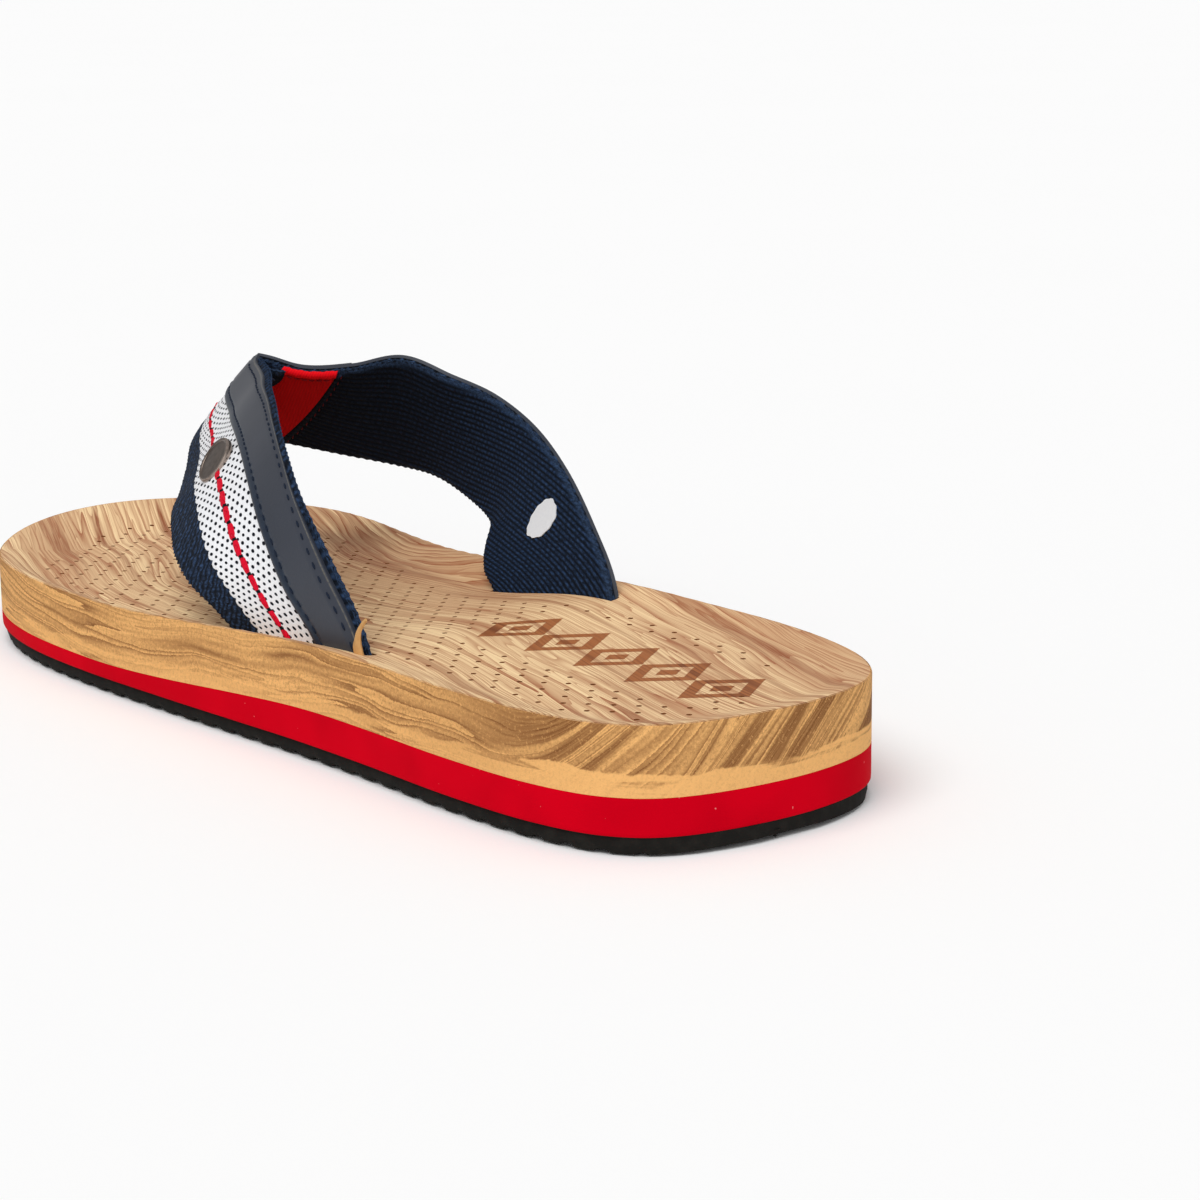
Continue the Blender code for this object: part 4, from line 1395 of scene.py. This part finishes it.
class SANDAL_OT_toe_post(Operator):
    """Folded tape that goes down between the toes"""
    bl_idname = "sandal.toe_post"
    bl_label = "Toe post"

    LINE, FOOT = 0.885, 12.0           # where it leaves the mitre, and how far down it goes
    LEAN = -0.81                       # its top follows the slope of the strap

    def execute(self, context):
        top = upper(np.array([0.0]), np.array([self.LINE]), -TAPE_OFFSET)[0][0]

        def place(u, v):
            turn = u * 2 * math.pi
            share = smooth(v / 0.5)
            centre_x = top[0] + (POST_X - top[0]) * share
            centre_y = top[1] + (POST_Y - top[1]) * share
            z = top[2] + 0.4 + (self.FOOT - top[2]) * v
            flare = 1 + 0.10 * (1 - smooth(v / 0.25))
            fold = 1 - 0.16 * np.exp(-(np.sin(turn) / 0.22) ** 2) * (np.cos(turn) > 0)
            x = centre_x + POST_THICK / 2 * flare * np.cos(turn) * fold
            y = centre_y + POST_WIDE / 2 * flare * np.sin(turn)
            slope = (1 - share) * (y - centre_y) * self.LEAN
            return np.column_stack([x, y, z + slope]), np.column_stack([u * 22, v * 40])

        post = grid_piece("toe_post_tape", 36, 40, place)
        close_tube(post)
        red = tuple(context.scene.sandal_upper.red)
        finish_piece(post, 50, tape_finish("toe_post_tape", red), "red_tape")
        return {"FINISHED"}


# ---- rivet, label and slot lip -------------------------------------------------------------

def metal_finish(name, color, roughness, highlight_from=None):
    """Plated metal; where a radius is given, the rim past it is painted paler: a painted highlight, broken up
    by wear.
    """
    metal = Finish(name, roughness, Metallic=1.0)
    place = metal.place()
    worn = metal.noise(place, 0.8, 3.0, 0.6)
    tone = metal.mix(metal.remap(worn, 0.35, 0.7), color, shade(color, 0.75))
    if highlight_from:
        radius = metal.split(metal.weave())[1]
        # painted highlight on the rim, uneven with wear
        bare = metal.remap(radius, highlight_from - 0.15, highlight_from + 0.15)
        bare = bare * metal.remap(worn, 0.62, 0.45, 0.55, 1.0)
        tone = metal.mix(bare, tone, shade([c + 0.015 for c in color], 2.0))
    metal.paint(tone)
    metal.bump(metal.noise(place, 2.5, 3.0, 0.6), 0.03, 0.4)
    return metal.material


RIVET_LEAN, RIVET_SIDES = Vector((-0.13, -0.13, -0.10)), 48


def turned_piece(name, profile, lean=Vector((0, 0, 0))):
    """Disc turned about the rivet's axis, from rows of radius and height."""
    centre, normal = upper(np.array([RIVET_ALONG]), np.array([RIVET_ACROSS]))
    centre, normal = Vector(centre[0]), (Vector(normal[0]) + lean).normalized()
    deselect()
    bpy.ops.mesh.primitive_circle_add(vertices=RIVET_SIDES, radius=profile[0][0] * MM, fill_type="NGON",
                                      location=(0, 0, profile[0][1] * MM))
    piece = bpy.context.object
    piece.name = piece.data.name = name
    bpy.ops.object.transform_apply(location=True, rotation=False, scale=False)
    with editing(piece):
        bpy.ops.mesh.select_mode(type="FACE")
        for (radius, height), (last_radius, last_height) in zip(profile[1:], profile):
            up = (0, 0, (height - last_height) * MM)
            bpy.ops.mesh.extrude_region_move(TRANSFORM_OT_translate={"value": up})
            share = radius / last_radius
            bpy.ops.transform.resize(value=(share, share, 1), center_override=(0, 0, height * MM))
    outward(piece)
    lay = piece.data.uv_layers.new(name="weave").data
    for loop in piece.data.loops:
        corner = piece.data.vertices[loop.vertex_index].co / MM
        lay[loop.index].uv = (math.atan2(corner.y, corner.x), math.hypot(corner.x, corner.y))
    turn = normal.to_track_quat("Z", "Y").to_matrix().to_4x4()
    piece.data.transform(Matrix.Translation(centre * MM) @ turn)
    piece.data.update()
    return piece


class SANDAL_OT_rivet(Operator):
    """Dark disc on the lateral strap and its bare back"""
    bl_idname = "sandal.rivet"
    bl_label = "Rivet"

    def execute(self, context):
        metal = context.scene.sandal_metal
        r, base = RIVET_RADIUS, WEBBING / 2 + GAP - 0.15
        profile = [
            (1.6, -1.6), (1.6, -0.1), (r - 1.6, 0.0), (r - 0.6, 0.1), (r - 0.12, 0.5), (r, 0.9), (r, 1.5),
            (r - 0.12, 1.8), (r - 0.4, 1.95), (r - 0.75, 1.9), (r - 0.95, 1.68), (r - 1.5, 1.66),
            (r - 3.0, 1.74), (r - 4.6, 1.79), (0.6, 1.8)]
        cap = turned_piece("rivet_cap_disc", [(radius, base + up) for radius, up in profile], RIVET_LEAN)
        plating = metal_finish("rivet_plating_painted_rim", tuple(metal.cap), 0.36, RIVET_RADIUS - 0.45)
        finish_piece(cap, 40, plating, "gunmetal", "rivet_cap")
        profile = [(4.5, 0.25), (4.5, 0.75), (4.2, 1.05), (3.4, 1.15), (1.6, 1.15), (1.2, 0.95), (0.4, 0.9)]
        back = turned_piece("rivet_back_disc", [(radius, -WEBBING / 2 - down) for radius, down in profile])
        bare = metal_finish("rivet_bare", tuple(metal.back), 0.28)
        finish_piece(back, 40, bare, "rivet_brass", "rivet_back")
        return {"FINISHED"}


class SANDAL_OT_label(Operator):
    """Blank oval label on the medial lining"""
    bl_idname = "sandal.label"
    bl_label = "Label"

    AT, LINE, HALF_LONG, HALF_WIDE, TILT = 119.5, 13.6, 7.0, 3.7, math.radians(68)

    def execute(self, context):
        def shape(u, v):
            turn = u * 2 * math.pi
            radius = v * (1 + 0.03 * np.sin(turn * 11) + 0.02 * np.sin(turn * 5))
            x, y = np.cos(turn) * radius * self.HALF_LONG, np.sin(turn) * radius * self.HALF_WIDE
            length = self.AT + x * math.cos(self.TILT) - y * math.sin(self.TILT)
            line = self.LINE + x * math.sin(self.TILT) + y * math.cos(self.TILT)
            return length, line, -WEBBING / 2 - 0.10

        label = cloth_piece("size_label_blank", 48, 8, shape)
        close_seam(label)
        thicken(label, 0.18)
        vinyl = mottled("label_vinyl", 0.5, 0.5, tint(240, 243, 246), tint(226, 230, 235), 1.5, strength=0.4)
        finish_piece(label, 50, vinyl, "navy_webbing")
        return {"FINISHED"}


class SANDAL_OT_slot_lip(Operator):
    """Sliver of foam that the strap has pushed up at the rear of the lateral slot"""
    bl_idname = "sandal.slot_lip"
    bl_label = "Slot lip"

    FROM, LONG, HALF_WIDE, RISE, OFFSET = -152.5, 11.3, 0.72, 4.9, 2.9

    def execute(self, context):
        def shape(u, v):
            length, side = self.FROM + self.LONG * u, v * 2 - 1
            rise = np.clip((length + 147) / 5.8, 0, 1) ** 3
            line = -0.1 - self.RISE * rise + (self.HALF_WIDE * (1 - rise) + 0.06) * side
            return length, line, self.OFFSET - 0.35 * side ** 2

        lip = cloth_piece("slot_lip", 26, 6, shape)
        thicken(lip, 0.7)
        foam = mottled("slot_lip_foam", 0.75, 0.15, tint(188, 140, 84), tint(222, 178, 120), 0.9, 3.0, 0.6,
                       depth=0.1, strength=0.6)
        finish_piece(lip, 50, foam, "wood_look_foam")
        return {"FINISHED"}


# ---- stage ---------------------------------------------------------------------------------

CAMERA_AT = Vector((-356.43, -545.57, 171.94)) * MM
CAMERA_RIGHT = Vector((0.78748, -0.61623, -0.01138))
CAMERA_UP = Vector((0.14782, 0.17091, 0.97413))


def soft_sun(name, power, spread, towards):
    """Even light from one side of the sky, spread over a wide disc."""
    deselect()
    bpy.ops.object.light_add(type="SUN", location=Vector(towards))
    lamp = bpy.context.object
    lamp.name = name
    lamp.data.energy, lamp.data.angle = power, math.radians(spread)
    lamp.rotation_euler = Vector(towards).to_track_quat("Z", "Y").to_euler()


class SANDAL_OT_stage(Operator):
    """Pale floor, soft studio light and the camera"""
    bl_idname = "sandal.stage"
    bl_label = "Stage"

    def execute(self, context):
        stage = context.scene.sandal_stage
        deselect()
        bpy.ops.mesh.primitive_plane_add(size=60.0, location=(0, 0, -0.0005))
        floor = bpy.context.object
        floor.name = "studio_floor"
        pale = Finish("studio_paper", 0.9, Specular_IOR_Level=0.0)
        paper = pale.noise(pale.place(1.0), 3.0, 2.0)
        pale.paint(pale.mix(paper, tuple(stage.floor), shade(stage.floor, 0.99)))
        floor.data.materials.append(pale.material)
        world = bpy.data.worlds.new("studio")
        context.scene.world = world
        world.use_nodes = True
        sky = world.node_tree.nodes["Background"].inputs
        sky["Color"].default_value = (1, 1, 1, 1)
        sky["Strength"].default_value = 0.42 * stage.light
        soft_sun("key", 1.75 * stage.light, 50, (-0.75, -0.35, 1.5))
        soft_sun("fill", 0.45 * stage.light, 60, (-0.5, -1.2, 0.7))
        context.scene.view_settings.view_transform = "Standard"
        lens = bpy.data.cameras.new("camera")
        lens.lens, lens.sensor_width, lens.sensor_fit = stage.lens, 36.0, "AUTO"
        lens.clip_start, lens.clip_end = 0.01, 20.0
        camera = bpy.data.objects.new("camera", lens)
        context.scene.collection.objects.link(camera)
        back = CAMERA_RIGHT.cross(CAMERA_UP)
        turn = Matrix((CAMERA_RIGHT, CAMERA_UP, back)).transposed().to_4x4()
        camera.matrix_world = Matrix.Translation(CAMERA_AT) @ turn
        context.scene.camera = camera
        return {"FINISHED"}


# ---- add-on --------------------------------------------------------------------------------

class SANDAL_PT_panel(Panel):
    """Lists the pieces in the order they are built"""
    bl_label = "Thong sandal"
    bl_idname = "SANDAL_PT_panel"
    bl_space_type = "VIEW_3D"
    bl_region_type = "UI"
    bl_category = "Sandal"

    def draw(self, context):
        for step in STEPS:
            self.layout.operator(step.bl_idname)
        for name, kind in GROUPS.items():
            box = self.layout.box()
            for key in kind.__annotations__:
                box.prop(getattr(context.scene, name), key)


STEPS = (
    SANDAL_OT_footbed, SANDAL_OT_midsole, SANDAL_OT_outsole, SANDAL_OT_webbing, SANDAL_OT_lining,
    SANDAL_OT_trim, SANDAL_OT_tape, SANDAL_OT_toe_post, SANDAL_OT_rivet, SANDAL_OT_label, SANDAL_OT_slot_lip,
    SANDAL_OT_stage,
)
GROUPS = {"sandal_sole": SandalSole, "sandal_upper": SandalUpper, "sandal_metal": SandalMetal,
          "sandal_stage": SandalStage}


def register():
    for name, group in GROUPS.items():
        bpy.utils.register_class(group)
        setattr(bpy.types.Scene, name, PointerProperty(type=group))
    for step in STEPS:
        bpy.utils.register_class(step)
    bpy.utils.register_class(SANDAL_PT_panel)


def unregister():
    bpy.utils.unregister_class(SANDAL_PT_panel)
    for step in reversed(STEPS):
        bpy.utils.unregister_class(step)
    for name, group in GROUPS.items():
        delattr(bpy.types.Scene, name)
        bpy.utils.unregister_class(group)


def main():
    register()
    for step in STEPS:
        getattr(bpy.ops.sandal, step.bl_idname.split(".")[1])()


if __name__ == "__main__":
    main()
